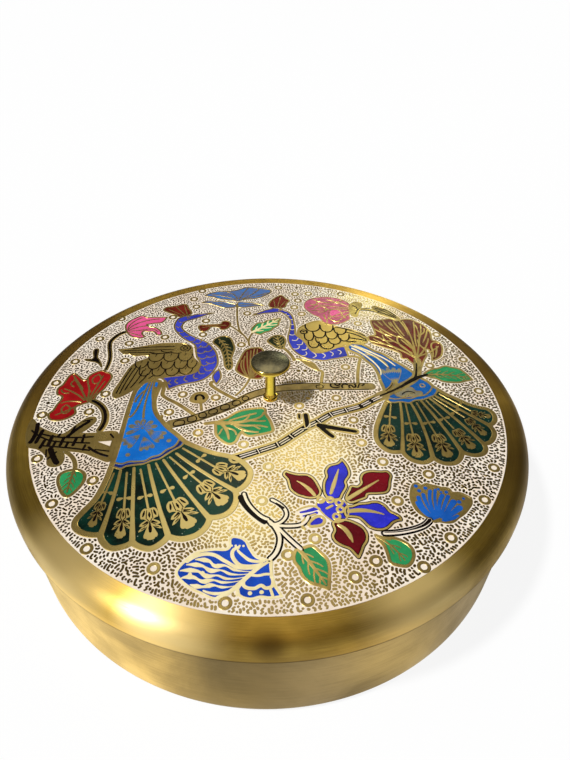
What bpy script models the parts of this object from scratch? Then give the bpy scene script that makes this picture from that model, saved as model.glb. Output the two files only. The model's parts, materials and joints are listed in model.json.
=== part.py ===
"""Round brass spice box: a tub with seven loose cups and a spoon, under a lift-off lid
that carries an enamel panel and a small mushroom knob. Metres, +Z up, base at zero."""

import math

import bmesh
import bpy

# Driving sizes of the lid and the tub
LID_RADIUS = 0.100
LID_DEPTH = 0.0089
LID_PLATE = 0.0016
LID_SHEET = 0.0012
LID_CLEARANCE = 0.0004
SHOULDER_RUN = 0.0033
SHOULDER_DROP = 0.0065
SKIRT_EDGE_ROUND = 0.0005
TUB_HEIGHT = 0.045
TUB_WALL = 0.0012
TUB_FLOOR = 0.0012
BASE_FILLET = 0.003

# Loose pieces lie this far from what they rest on, and shafts this far from their holes
SEAT_GAP = 0.0003
BORE_CLEARANCE = 0.0003

# Enamel panel, let into the lid's top
PANEL_BORDER = 0.00895
PANEL_THICKNESS = 0.0006
PANEL_EDGE_ROUND = 0.00015

# Knob, turned in one piece with the stud that passes through the lid
KNOB_HEIGHT = 0.0185
KNOB_HEAD_RADIUS = 0.0077
KNOB_HEAD_THICKNESS = 0.0024
KNOB_CROWN = 0.0004
KNOB_STEM_RADIUS = 0.0021
KNOB_NECK_FLARE = 0.0009
KNOB_FOOT_RADIUS = 0.0029
KNOB_FOOT_HEIGHT = 0.0007
STUD_RADIUS = 0.0015
STUD_POINT = 0.0004

# Washer and nut under the lid
WASHER_RADIUS = 0.004
WASHER_THICKNESS = 0.0006
NUT_ACROSS_CORNERS = 0.0064
NUT_HEIGHT = 0.0022
CUT_OVERRUN = 0.001

# Seven cups: one in the middle and a ring of six round it
RING_CUPS = 6
CUP_GAP = 0.0009
CUP_WALL = 0.0009
CUP_BEAD = 0.0009
CUP_FILLET = 0.005
CUP_TAPER = 0.0024

# Spoon, lying across the cups' rims
SPOON_LENGTH = 0.100
SPOON_SHEET = 0.0012
SPOON_HEAD_ROOM = 0.0045
SPOON_BOWL_RADIUS = 0.009
SPOON_BOWL_DEPTH = 0.0045
SPOON_NECK_WIDTH = 0.0034
SPOON_TIP_WIDTH = 0.007
SPOON_LIP = 0.0003
SPOON_REACH_SHARE = 0.75
SPOON_ASIDE_SHARE = 0.3

# Facets round each turned piece
FACETS = {"box": 80, "knob": 28, "cup": 28, "bowl": 20, "bore": 16}
ARC_STEPS = 5

# Worked out from the sizes above
LID_UNDERSIDE = TUB_HEIGHT + SEAT_GAP
LID_TOP = LID_UNDERSIDE + LID_PLATE
SKIRT_EDGE = LID_TOP - LID_DEPTH
SHOULDER_END = LID_TOP - SHOULDER_DROP
SKIRT_INNER_RADIUS = LID_RADIUS - LID_SHEET
TUB_RADIUS = SKIRT_INNER_RADIUS - LID_CLEARANCE
TUB_INNER_RADIUS = TUB_RADIUS - TUB_WALL
MOUTH_RADIUS = TUB_INNER_RADIUS - SHOULDER_RUN
STUD_HOLE_RADIUS = STUD_RADIUS + BORE_CLEARANCE
PANEL_RADIUS = LID_RADIUS - PANEL_BORDER
RECESS_RADIUS = PANEL_RADIUS + BORE_CLEARANCE
RECESS_FLOOR = LID_TOP - PANEL_THICKNESS - SEAT_GAP
WASHER_TOP = LID_UNDERSIDE - SEAT_GAP
NUT_TOP = WASHER_TOP - WASHER_THICKNESS - SEAT_GAP
STUD_END = NUT_TOP - NUT_HEIGHT - STUD_POINT
CUP_RIM_RADIUS = (MOUTH_RADIUS - 2 * CUP_GAP) / 3
CUP_RING_RADIUS = 2 * CUP_RIM_RADIUS + CUP_GAP
CUP_BOTTOM = TUB_FLOOR + SEAT_GAP
SPOON_TOP = STUD_END - SPOON_HEAD_ROOM
SPOON_REST = SPOON_TOP - SPOON_SHEET
CUP_TOP = SPOON_REST - SEAT_GAP

COLOURS = {
    "lid": (0.55, 0.40, 0.13),
    "tub": (0.60, 0.52, 0.30),
    "enamel": (0.80, 0.74, 0.62),
    "knob": (0.62, 0.48, 0.16),
    "cups": (0.60, 0.46, 0.18),
    "spoon": (0.62, 0.50, 0.22),
    "fastener": (0.56, 0.44, 0.18),
}


def clear_scene():
    for obj in list(bpy.data.objects):
        bpy.data.objects.remove(obj, do_unlink=True)


def new_collection(name):
    collection = bpy.data.collections.new(name)
    bpy.context.scene.collection.children.link(collection)
    return collection


def material(name, colour, roughness, metallic):
    made = bpy.data.materials.new(name)
    made.use_nodes = True
    shader = made.node_tree.nodes["Principled BSDF"]
    shader.inputs["Base Color"].default_value = (*colour, 1.0)
    shader.inputs["Roughness"].default_value = roughness
    shader.inputs["Metallic"].default_value = metallic
    return made


def brass(name, tint):
    """Satin brass: a metal of the given tint."""
    return material(name, COLOURS[tint], 0.32, 1.0)


def arc(centre, radii, start, end, steps=ARC_STEPS):
    """Points of an elliptical arc in the (radius, height) plane, angles in degrees from +radius."""
    points = []
    for i in range(steps + 1):
        angle = math.radians(start + (end - start) * i / steps)
        points.append((centre[0] + radii[0] * math.cos(angle), centre[1] + radii[1] * math.sin(angle)))
    return points


def turned(name, collection, profile, facets, closed=False):
    """Revolves a profile of (radius, height) points that runs down its outer side."""
    mesh = bpy.data.meshes.new(name)
    vertices = [(radius, 0, height) for radius, height in profile]
    edges = [(i, i + 1) for i in range(len(profile) - 1)]
    if closed:
        edges.append((len(profile) - 1, 0))
    mesh.from_pydata(vertices, edges, [])
    obj = bpy.data.objects.new(name, mesh)
    collection.objects.link(obj)
    screw = obj.modifiers.new("turn", "SCREW")
    screw.steps = facets
    screw.render_steps = facets
    screw.use_merge_vertices = True
    screw.merge_threshold = 0.00001
    return obj


def baked(obj):
    """Puts the modifiers' result into the object's own mesh, with round faces shaded smooth."""
    graph = bpy.context.evaluated_depsgraph_get()
    mesh = bpy.data.meshes.new_from_object(obj.evaluated_get(graph), depsgraph=graph)
    obj.modifiers.clear()
    obj.data = mesh
    mesh.name = obj.name
    mesh.shade_smooth()
    mesh.set_sharp_from_angle(angle=math.radians(35))
    return obj


def finished(obj, parent, own_material):
    obj.data.materials.clear()
    obj.data.materials.append(own_material)
    obj.parent = parent
    return obj


def empty_at(name, collection, location, parent=None):
    empty = bpy.data.objects.new(name, None)
    empty.location = location
    empty.parent = parent
    collection.objects.link(empty)
    return empty


def tub_profile():
    """From the floor's middle up the inside, over the rim and down the outside."""
    inner_fillet = BASE_FILLET - TUB_WALL
    floor_edge = (TUB_INNER_RADIUS - inner_fillet, TUB_FLOOR + inner_fillet)
    inner_drop = TUB_HEIGHT - TUB_WALL - SHOULDER_END
    outer_drop = TUB_HEIGHT - SHOULDER_END
    base_centre = (TUB_RADIUS - BASE_FILLET, BASE_FILLET)
    points = [(0, TUB_FLOOR)]
    points += arc(floor_edge, (inner_fillet, inner_fillet), -90, 0, 2)
    points += arc((MOUTH_RADIUS, SHOULDER_END), (SHOULDER_RUN, inner_drop), 0, 90, 3)
    points += [(MOUTH_RADIUS, TUB_HEIGHT)]
    points += arc((TUB_RADIUS - SHOULDER_RUN, SHOULDER_END), (SHOULDER_RUN, outer_drop), 90, 0)
    points += arc(base_centre, (BASE_FILLET, BASE_FILLET), 0, -90, 3)
    points += [(0, 0)]
    return points


def make_tub(collection, root):
    tub = baked(turned("tub", collection, tub_profile(), FACETS["box"]))
    return finished(tub, root, brass("tub brass", "tub"))


def lid_profile():
    """The lid's section as a closed loop, its heights counted from the lid's seat on the tub."""
    top = LID_TOP - TUB_HEIGHT
    underside = LID_UNDERSIDE - TUB_HEIGHT
    shoulder_end = SHOULDER_END - TUB_HEIGHT
    skirt_edge = SKIRT_EDGE - TUB_HEIGHT
    recess = RECESS_FLOOR - TUB_HEIGHT
    inner_centre = (SKIRT_INNER_RADIUS - SHOULDER_RUN, shoulder_end)
    edge_centre = (LID_RADIUS - SKIRT_EDGE_ROUND, skirt_edge + SKIRT_EDGE_ROUND)
    points = [(STUD_HOLE_RADIUS, recess), (RECESS_RADIUS, recess), (RECESS_RADIUS, top)]
    points += arc((LID_RADIUS - SHOULDER_RUN, shoulder_end), (SHOULDER_RUN, SHOULDER_DROP), 90, 0, 6)
    points += arc(edge_centre, (SKIRT_EDGE_ROUND, SKIRT_EDGE_ROUND), 0, -90, 2)
    points += [(SKIRT_INNER_RADIUS, skirt_edge)]
    points += arc(inner_centre, (SHOULDER_RUN, underside - shoulder_end), 0, 90, 3)
    points += [(STUD_HOLE_RADIUS, underside)]
    return points


def make_lid(collection, lift):
    lid = baked(turned("lid", collection, lid_profile(), FACETS["box"], closed=True))
    return finished(lid, lift, brass("lid brass", "lid"))


def make_enamel_panel(collection, lift):
    """A thin disc whose top lies level with the brass border round it."""
    top = LID_TOP - TUB_HEIGHT
    bottom = top - PANEL_THICKNESS
    edge_centre = (PANEL_RADIUS - PANEL_EDGE_ROUND, top - PANEL_EDGE_ROUND)
    points = [(STUD_HOLE_RADIUS, top)]
    points += arc(edge_centre, (PANEL_EDGE_ROUND, PANEL_EDGE_ROUND), 90, 0, 2)
    points += [(PANEL_RADIUS, bottom), (STUD_HOLE_RADIUS, bottom)]
    panel = baked(turned("enamel_panel", collection, points, FACETS["box"], closed=True))
    return finished(panel, lift, material("white enamel", COLOURS["enamel"], 0.25, 0.0))


def knob_profile():
    """From the crown over the head, down the stem and foot, and down the stud to its end."""
    foot = LID_TOP + SEAT_GAP - TUB_HEIGHT
    crown = foot + KNOB_HEIGHT
    rim_radius = (KNOB_HEAD_THICKNESS - KNOB_CROWN) / 2
    rim_centre = (KNOB_HEAD_RADIUS - rim_radius, crown - KNOB_CROWN - rim_radius)
    head_bottom = crown - KNOB_HEAD_THICKNESS
    neck_centre = (KNOB_STEM_RADIUS + KNOB_NECK_FLARE, head_bottom - KNOB_NECK_FLARE)
    foot_top = foot + KNOB_FOOT_HEIGHT
    foot_flare = KNOB_FOOT_RADIUS - KNOB_STEM_RADIUS
    crown_shares = (0.0, 0.35, 0.7)
    points = []
    for share in crown_shares:
        points.append((rim_centre[0] * share, crown - KNOB_CROWN * share * share))
    points += arc(rim_centre, (rim_radius, rim_radius), 90, -90, 6)
    points += arc(neck_centre, (KNOB_NECK_FLARE, KNOB_NECK_FLARE), 90, 180, 3)
    points += arc((KNOB_FOOT_RADIUS, foot_top + foot_flare), (foot_flare, foot_flare), 180, 270, 3)
    points += [(KNOB_FOOT_RADIUS, foot), (STUD_RADIUS, foot)]
    points += [(STUD_RADIUS, STUD_END - TUB_HEIGHT), (0, STUD_END - TUB_HEIGHT)]
    return points


def make_knob(collection, lift):
    knob = baked(turned("knob", collection, knob_profile(), FACETS["knob"]))
    return finished(knob, lift, brass("knob brass", "knob"))


def make_washer(collection, lift):
    top = WASHER_TOP - TUB_HEIGHT
    bottom = top - WASHER_THICKNESS
    points = [(STUD_HOLE_RADIUS, top), (WASHER_RADIUS, top)]
    points += [(WASHER_RADIUS, bottom), (STUD_HOLE_RADIUS, bottom)]
    washer = baked(turned("knob_washer", collection, points, FACETS["bore"] * 2, closed=True))
    return finished(washer, lift, brass("washer brass", "fastener"))


def cylinder(name, collection, radius, depth, sides):
    """A prism with its ends closed, centred on its own origin."""
    shape = bmesh.new()
    bmesh.ops.create_cone(
        shape, cap_ends=True, segments=sides, radius1=radius, radius2=radius, depth=depth
    )
    mesh = bpy.data.meshes.new(name)
    shape.to_mesh(mesh)
    shape.free()
    obj = bpy.data.objects.new(name, mesh)
    collection.objects.link(obj)
    return obj


def make_nut(collection, cutters, lift):
    """A hexagon with the stud's hole cut through it."""
    middle = NUT_TOP - NUT_HEIGHT / 2 - TUB_HEIGHT
    nut = cylinder("knob_nut", collection, NUT_ACROSS_CORNERS / 2, NUT_HEIGHT, 6)
    bore = cylinder("nut_bore", cutters, STUD_HOLE_RADIUS, NUT_HEIGHT + CUT_OVERRUN, FACETS["bore"])
    bore.hide_render = True
    bore.display_type = "WIRE"
    cut = nut.modifiers.new("bore", "BOOLEAN")
    cut.operation = "DIFFERENCE"
    cut.object = bore
    baked(nut)
    nut.location = (0, 0, middle)
    bore.parent = lift
    bore.location = nut.location
    return finished(nut, lift, brass("nut brass", "fastener"))


def cup_profile():
    """A pressed cup: flat bottom, round corner, a wall that widens a little and a rolled rim."""
    height = CUP_TOP - CUP_BOTTOM
    wall_top = CUP_RIM_RADIUS - CUP_BEAD
    base = wall_top - CUP_TAPER
    corner = (base - CUP_FILLET, CUP_FILLET)
    inner_fillet = CUP_FILLET - CUP_WALL
    bead_centre = (CUP_RIM_RADIUS - CUP_BEAD, height - CUP_BEAD)
    points = [(0, CUP_WALL)]
    points += arc(corner, (inner_fillet, inner_fillet), -90, 0, 2)
    points += arc(bead_centre, (CUP_BEAD, CUP_BEAD), 180, -60, 4)
    points += [(wall_top, height - 3 * CUP_BEAD)]
    points += arc(corner, (CUP_FILLET, CUP_FILLET), 0, -90, 2)
    points += [(0, 0)]
    return points


def make_cup(name, collection, root, place):
    cup = baked(turned(name, collection, cup_profile(), FACETS["cup"]))
    cup.location = place
    return finished(cup, root, brass(name + " brass", "cups"))


def make_cups(collection, root):
    cups = [make_cup("cup_centre", collection, root, (0, 0, CUP_BOTTOM))]
    for i in range(RING_CUPS):
        angle = math.tau * i / RING_CUPS
        place = (CUP_RING_RADIUS * math.cos(angle), CUP_RING_RADIUS * math.sin(angle), CUP_BOTTOM)
        cups.append(make_cup(f"cup_{i + 1}", collection, root, place))
    return cups


def bowl_profile():
    """A shallow dish cut from a sphere, with its rim at the spoon's top."""
    sphere = (SPOON_BOWL_RADIUS ** 2 + SPOON_BOWL_DEPTH ** 2) / (2 * SPOON_BOWL_DEPTH)
    centre = (0, sphere - SPOON_BOWL_DEPTH)
    rim_angle = math.degrees(math.asin(-centre[1] / sphere))
    inner = sphere - SPOON_SHEET
    inner_angle = math.degrees(math.asin(-centre[1] / inner))
    points = arc(centre, (inner, inner), -90, inner_angle, 5)
    points += arc(centre, (sphere, sphere), rim_angle, -90, 5)
    points[0] = (0, points[0][1])
    points[-1] = (0, points[-1][1])
    return points


def spoon_handle(collection):
    """A flat strip along +X that widens to a round tip, from inside the bowl's wall outward."""
    start = SPOON_BOWL_RADIUS - SPOON_SHEET
    end = SPOON_LENGTH - SPOON_BOWL_RADIUS
    neck = SPOON_NECK_WIDTH / 2
    tip = SPOON_TIP_WIDTH / 2
    tip_centre = (end - tip, 0)
    outline = [(start, -neck), (end / 2, -neck)]
    outline += arc(tip_centre, (tip, tip), -90, 90, 8)
    outline += [(end / 2, neck), (start, neck)]
    curve = bpy.data.curves.new("spoon_handle", "CURVE")
    curve.dimensions = "2D"
    curve.fill_mode = "BOTH"
    curve.extrude = (SPOON_SHEET - SPOON_LIP) / 2
    spline = curve.splines.new("POLY")
    spline.points.add(len(outline) - 1)
    for point, (x, y) in zip(spline.points, outline):
        point.co = (x, y, 0, 1)
    spline.use_cyclic_u = True
    guide = bpy.data.objects.new("spoon_handle_curve", curve)
    collection.objects.link(guide)
    graph = bpy.context.evaluated_depsgraph_get()
    mesh = bpy.data.meshes.new_from_object(guide.evaluated_get(graph), depsgraph=graph)
    shape = bmesh.new()
    shape.from_mesh(mesh)
    bmesh.ops.remove_doubles(shape, verts=shape.verts, dist=SPOON_LIP / 10)
    shape.to_mesh(mesh)
    shape.free()
    bpy.data.objects.remove(guide, do_unlink=True)
    handle = bpy.data.objects.new("spoon_handle", mesh)
    collection.objects.link(handle)
    handle.hide_render = True
    handle.display_type = "WIRE"
    return handle


def make_spoon(collection, cutters, root):
    """Bowl and handle joined, lying on the rims of the middle cup with the bowl in a ring cup."""
    spoon = turned("spoon", collection, bowl_profile(), FACETS["bowl"])
    handle = spoon_handle(cutters)
    handle.location = (0, 0, -SPOON_LIP - (SPOON_SHEET - SPOON_LIP) / 2)
    join = spoon.modifiers.new("handle", "BOOLEAN")
    join.operation = "UNION"
    join.object = handle
    baked(spoon)
    place = (-SPOON_REACH_SHARE * CUP_RING_RADIUS, SPOON_ASIDE_SHARE * CUP_RIM_RADIUS, SPOON_TOP)
    spoon.location = place
    handle.parent = spoon
    return finished(spoon, root, brass("spoon brass", "spoon"))


def main():
    clear_scene()
    parts = new_collection("spice_box")
    cutters = new_collection("cutters")
    root = empty_at("spice_box_origin", parts, (0, 0, 0))
    lift = empty_at("lid_lift_axis", parts, (0, 0, TUB_HEIGHT), root)
    make_tub(parts, root)
    make_cups(parts, root)
    make_spoon(parts, cutters, root)
    make_lid(parts, lift)
    make_enamel_panel(parts, lift)
    make_knob(parts, lift)
    make_washer(parts, lift)
    make_nut(parts, cutters, lift)


main()
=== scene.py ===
import json
import math
from collections import defaultdict

import bpy
import numpy as np
from mathutils import Matrix, Vector, geometry

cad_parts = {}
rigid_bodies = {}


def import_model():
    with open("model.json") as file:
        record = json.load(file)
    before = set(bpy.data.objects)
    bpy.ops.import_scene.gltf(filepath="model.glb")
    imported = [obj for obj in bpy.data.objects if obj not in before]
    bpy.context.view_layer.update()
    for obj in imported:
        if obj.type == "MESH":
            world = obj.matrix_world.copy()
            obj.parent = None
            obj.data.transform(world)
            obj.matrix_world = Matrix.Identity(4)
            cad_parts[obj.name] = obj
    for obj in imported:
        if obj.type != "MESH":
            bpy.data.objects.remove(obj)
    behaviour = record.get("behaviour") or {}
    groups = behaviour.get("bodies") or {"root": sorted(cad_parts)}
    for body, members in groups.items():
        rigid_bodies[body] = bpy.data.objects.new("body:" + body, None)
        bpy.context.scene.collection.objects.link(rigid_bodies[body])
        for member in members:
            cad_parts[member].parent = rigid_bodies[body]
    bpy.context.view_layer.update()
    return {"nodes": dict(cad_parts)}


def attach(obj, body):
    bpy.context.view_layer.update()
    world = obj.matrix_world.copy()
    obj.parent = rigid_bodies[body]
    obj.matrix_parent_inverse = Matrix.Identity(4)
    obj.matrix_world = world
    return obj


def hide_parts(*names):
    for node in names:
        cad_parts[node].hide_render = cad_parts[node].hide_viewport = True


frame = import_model()
mm = 0.001
lidTop = 46.9
print("frame loaded,", len(frame["nodes"]), "nodes")


def linear(hexColour):
    # An sRGB hex colour as the linear colour that shaders take
    parts = [int(hexColour[i:i + 2], 16) / 255 for i in (1, 3, 5)]
    return [c / 12.92 if c < 0.04045 else ((c + 0.055) / 1.055) ** 2.4 for c in parts] + [1.0]


def addNode(tree, kind, inputs=None, **settings):
    # Adds a shader or geometry node, sets it up and feeds its sockets from values or other sockets
    node = tree.nodes.new(kind)
    for name, value in settings.items():
        setattr(node, name, value)
    for key, value in (inputs or {}).items():
        if isinstance(value, bpy.types.NodeSocket):
            tree.links.new(value, node.inputs[key])
        else:
            node.inputs[key].default_value = value
    return node


def mathNode(tree, operation, *values, **settings):
    sockets = dict(enumerate(values))
    return addNode(tree, "ShaderNodeMath", sockets, operation=operation, **settings).outputs[0]


def remap(tree, value, low, high, first=0.0, last=1.0, **settings):
    # Carries a value over from one range to another
    ranges = {"Value": value, 1: low, 2: high, 3: first, 4: last}
    return addNode(tree, "ShaderNodeMapRange", ranges, **settings).outputs[0]


def blend(tree, share, first, second):
    return addNode(tree, "ShaderNodeMix", {0: share, 6: first, 7: second}, data_type="RGBA").outputs[2]


def noise(tree, where, scale, detail, roughness=0.5, distortion=0.0):
    cloud = {"Vector": where, "Scale": scale, "Detail": detail, "Roughness": roughness,
        "Distortion": distortion}
    return addNode(tree, "ShaderNodeTexNoise", cloud).outputs["Fac"]


def objectPlace(tree):
    return addNode(tree, "ShaderNodeTexCoord").outputs["Object"]


def meshObject(name, vertices, faces, material, sharp=None):
    # Takes millimetres and leaves the piece's origin at the world's
    mesh = bpy.data.meshes.new(name)
    mesh.from_pydata((np.asarray(vertices, float) * mm).tolist(), [], faces)
    mesh.materials.append(material)
    piece = bpy.data.objects.new(name, mesh)
    bpy.context.scene.collection.objects.link(piece)
    if sharp is not None:
        mesh.shade_smooth()
        mesh.set_sharp_from_angle(angle=math.radians(sharp))
    return piece


def arc(centre, radii, start, end, steps):
    angles = np.radians(np.linspace(start, end, steps + 1))
    return [(centre[0] + radii[0] * math.cos(a), centre[1] + radii[1] * math.sin(a)) for a in angles]


def turned(name, profile, sides, material, closed=False, centre=(0, 0)):
    # Revolves a profile of (radius, height) points that runs outward over the top and down the side
    vertices, rings = [], []
    for radius, height in profile:
        first = len(vertices)
        if radius < 1e-6:
            vertices.append((centre[0], centre[1], height))
            rings.append([first] * sides)
            continue
        for k in range(sides):
            angle = math.tau * k / sides
            vertices.append((centre[0] + radius * math.cos(angle), centre[1] + radius * math.sin(angle),
                height))
        rings.append(list(range(first, first + sides)))
    faces = []
    for i in range(len(rings) if closed else len(rings) - 1):
        upper, lower = rings[i], rings[(i + 1) % len(rings)]
        for k in range(sides):
            j = (k + 1) % sides
            corners = [upper[k], lower[k], lower[j], upper[j]]
            faces.append([v for n, v in enumerate(corners) if v != corners[n - 1]])
    return meshObject(name, vertices, faces, material, 35)


# Camera, where the photograph was taken from: close above the front edge, looking down at the lid
scene = bpy.context.scene
cameraData = bpy.data.cameras.new("camera")
cameraData.lens = 26.56
cameraData.sensor_width = 36
cameraData.clip_start = 0.01
camera = bpy.data.objects.new("camera", cameraData)
scene.collection.objects.link(camera)
pitch = Matrix.Rotation(math.radians(50.367), 4, "X")
roll = Matrix.Rotation(math.radians(1.086), 4, "Z")
camera.matrix_world = Matrix.Translation((0.00573, -0.16845, 0.19579)) @ pitch @ roll
scene.camera = camera
scene.view_settings.view_transform = "Standard"


def lamp(name, direction, distance, size, watts, colour):
    # A soft box that faces the lid from the given direction
    data = bpy.data.lights.new(name, "AREA")
    data.shape = "RECTANGLE"
    data.size, data.size_y = size
    data.energy = watts
    data.color = linear(colour)[:3]
    obj = bpy.data.objects.new(name, data)
    obj.location = Vector(direction).normalized() * distance
    obj.rotation_euler = obj.location.to_track_quat("Z", "Y").to_euler()
    scene.collection.objects.link(obj)


key = bpy.data.lights.new("key", "SUN")
key.energy = 3.5
key.angle = 0.09
key.color = linear("#fffaf0")[:3]
keyObject = bpy.data.objects.new("key", key)
keyObject.rotation_euler = Vector((-10, -4, 17.5)).to_track_quat("Z", "Y").to_euler()
scene.collection.objects.link(keyObject)
lamp("back_softbox", (0.02, 0.64, 0.78), 1.0, (0.42, 0.22), 0.35, "#fff3d8")

world = bpy.data.worlds.new("studio")
scene.world = world
world.use_nodes = True
world.node_tree.nodes.clear()


def seenShare(tree):
    # 1 for the rays of the camera, straight or by way of a reflection or glass, and 0 for the rays that light
    rays = addNode(tree, "ShaderNodeLightPath").outputs
    seen = mathNode(tree, "MAXIMUM", rays["Is Camera Ray"], rays["Is Glossy Ray"])
    return mathNode(tree, "MAXIMUM", seen, rays["Is Transmission Ray"])


tree = world.node_tree
fill = addNode(tree, "ShaderNodeBackground", {"Color": linear("#eef1f6"), "Strength": 0.1})
white = addNode(tree, "ShaderNodeBackground", {"Color": (1, 1, 1, 1), "Strength": 1.0})
sky = addNode(tree, "ShaderNodeMixShader", {0: seenShare(tree), 1: fill.outputs[0], 2: white.outputs[0]})
addNode(tree, "ShaderNodeOutputWorld", {"Surface": sky.outputs[0]})


def plainMaterial(name):
    material = bpy.data.materials.new(name)
    material.use_nodes = True
    material.node_tree.nodes.clear()
    return material, material.node_tree


# The floor shows white and still darkens where the box keeps the light off it
paper, tree = plainMaterial("matt white paper")
sheetColour = addNode(tree, "ShaderNodeBsdfDiffuse", {"Color": linear("#f1f6ff")})
lift = addNode(tree, "ShaderNodeEmission", {"Color": (1, 1, 1, 1), "Strength": seenShare(tree)})
dimmed = addNode(tree, "ShaderNodeMixShader", {0: 0.9, 1: sheetColour.outputs[0], 2: lift.outputs[0]})
addNode(tree, "ShaderNodeOutputMaterial", {"Surface": dimmed.outputs[0]})
reach, level = 4000, -0.3
corners = [(x * reach, y * reach, level) for x, y in ((-1, -1), (1, -1), (1, 1), (-1, 1))]
floor = meshObject("floor", corners, [[0, 1, 2, 3]], paper)


# Cards round the box that only its reflections see: dark ones, and bright ones for the glare on the metal
def cardMaterial(name, colour, strength):
    material, tree = plainMaterial(name)
    glow = addNode(tree, "ShaderNodeEmission", {"Color": linear(colour), "Strength": strength})
    addNode(tree, "ShaderNodeOutputMaterial", {"Surface": glow.outputs[0]})
    return material


def stageCard(name, vertices, rows, columns, material):
    # A grid of faces that casts no shadow and lights nothing
    faces = []
    for r in range(rows - 1):
        for c in range(columns - 1):
            a = r * columns + c
            faces.append([a, a + 1, a + columns + 1, a + columns])
    obj = meshObject(name, vertices, faces, material)
    obj.visible_camera = False
    obj.visible_diffuse = False
    obj.visible_shadow = False


def reflector(name, azimuths, elevations, material):
    # A patch of a wide sphere, given in degrees
    far, rows, columns = 3000, 7, 13
    vertices = []
    for e in np.radians(np.linspace(*elevations, rows)):
        for a in np.radians(np.linspace(*azimuths, columns)):
            vertices.append((far * math.cos(a) * math.cos(e), far * math.sin(a) * math.cos(e),
                far * math.sin(e)))
    stageCard(name, vertices, rows, columns, material)


darkCard = cardMaterial("dark card", "#3a352b", 1.0)
greyCard = cardMaterial("grey card", "#8b8068", 1.0)
brightCard = cardMaterial("bright card", "#fff0c4", 3.0)
reflector("card_back", (60, 200), (33, 44.5), darkCard)
reflector("card_back_left", (91, 200), (3, 33), darkCard)
reflector("card_back_low", (60, 91), (3, 28), darkCard)
reflector("card_right", (-40, 60), (4, 66), darkCard)
reflector("card_right_high", (60, 76), (44.5, 66), darkCard)
reflector("card_left_high", (108, 122), (44.5, 66), greyCard)
reflector("card_left_far", (122, 200), (44.5, 66), darkCard)
reflector("card_top", (0, 180), (67, 88), darkCard)
reflector("card_front", (200, 320), (4, 66), greyCard)
reflector("card_top_right", (-55, 0), (66, 88), darkCard)
reflector("card_top_left", (180, 235), (66, 88), darkCard)
reflector("glare_back", (81, 105), (46.5, 59), brightCard)
reflector("streak_right", (61, 69), (53, 64), cardMaterial("right streak card", "#ffe9ac", 2.3))
reflector("streak_left", (121.5, 126.5), (49, 54.5), cardMaterial("left streak card", "#fff6dc", 3.2))
reflector("glare_right", (69, 86), (28, 32.8), cardMaterial("right back card", "#fbffd4", 7.5))
reflector("glare_overhead", (238, 312), (64, 80), cardMaterial("overhead card", "#ffe3a0", 2.6))


def tableRing(name, radii, height, stops, fromAbove=False):
    # Part of a flat ring round the axis whose glow changes softly with the azimuth, as the stops say
    material, tree = plainMaterial(name + " glow")
    parts = addNode(tree, "ShaderNodeSeparateXYZ", {0: objectPlace(tree)}).outputs
    azimuth = mathNode(tree, "ARCTAN2", parts["Y"], parts["X"])
    first, last = stops[0][0], stops[-1][0]
    share = remap(tree, azimuth, math.radians(first), math.radians(last))
    ramp = addNode(tree, "ShaderNodeValToRGB", {"Fac": share})
    ramp.color_ramp.interpolation = "EASE"
    for place, colour, strength in stops[1:-1]:
        ramp.color_ramp.elements.new((place - first) / (last - first))
    brightest = 3.0
    for element, (place, colour, strength) in zip(ramp.color_ramp.elements, stops):
        element.color = [channel * strength / brightest for channel in linear(colour)[:3]] + [1]
    glow = addNode(tree, "ShaderNodeEmission", {"Color": ramp.outputs[0], "Strength": brightest})
    surface = glow
    if fromAbove:
        side = addNode(tree, "ShaderNodeNewGeometry").outputs["Backfacing"]
        clear = addNode(tree, "ShaderNodeBsdfTransparent")
        surface = addNode(tree, "ShaderNodeMixShader", {0: side, 1: glow.outputs[0], 2: clear.outputs[0]})
    addNode(tree, "ShaderNodeOutputMaterial", {"Surface": surface.outputs[0]})
    columns = 49
    across = np.radians(np.linspace(first, last, columns))
    # The outer row comes first, so that the faces look up
    vertices = [(r * math.cos(a), r * math.sin(a), height) for r in radii[::-1] for a in across]
    stageCard(name, vertices, 2, columns, material)


# The table beside the tub, brighter to the left, and the lit enamel before the knob, seen only in its stem
tableRing("table_far", (108, 135), -0.2, ((-156, "#8b7a55", 1.0), (-142, "#ffe9ac", 2.0),
    (-130, "#ffe9ac", 2.6), (-115, "#ffe9ac", 1.6), (-100, "#9c8f78", 0.8), (-90, "#9c8f78", 0.9),
    (-78, "#cfc4ae", 1.15), (-60, "#dfd0a6", 1.9), (-42, "#cfc4ae", 1.1), (-20, "#8d8468", 0.7)))
tableRing("table_outer", (135, 175), -0.2, ((-80, "#efe6cc", 1.0), (-61, "#fff0cc", 2.2),
    (-42, "#efe6cc", 1.0)))
tableRing("table_near", (99, 108), -0.2, ((-156, "#8b7a55", 1.2), (-142, "#ffe9ac", 2.0),
    (-130, "#ffe9ac", 2.4), (-115, "#ffe9ac", 2.2), (-98, "#d8c9a0", 1.1), (-80, "#cfc4ae", 1.0),
    (-60, "#dfd0a6", 1.2), (-42, "#cfc4ae", 1.0), (-20, "#8d8468", 0.7)))
tableRing("knob_light", (5, 32), 47.5, ((-165, "#fbffd4", 0.4), (-120, "#fbffd4", 1.15),
    (-60, "#fbffd4", 0.95), (-15, "#fbffd4", 0.3)), True)
print("camera, lights and floor set")


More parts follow.
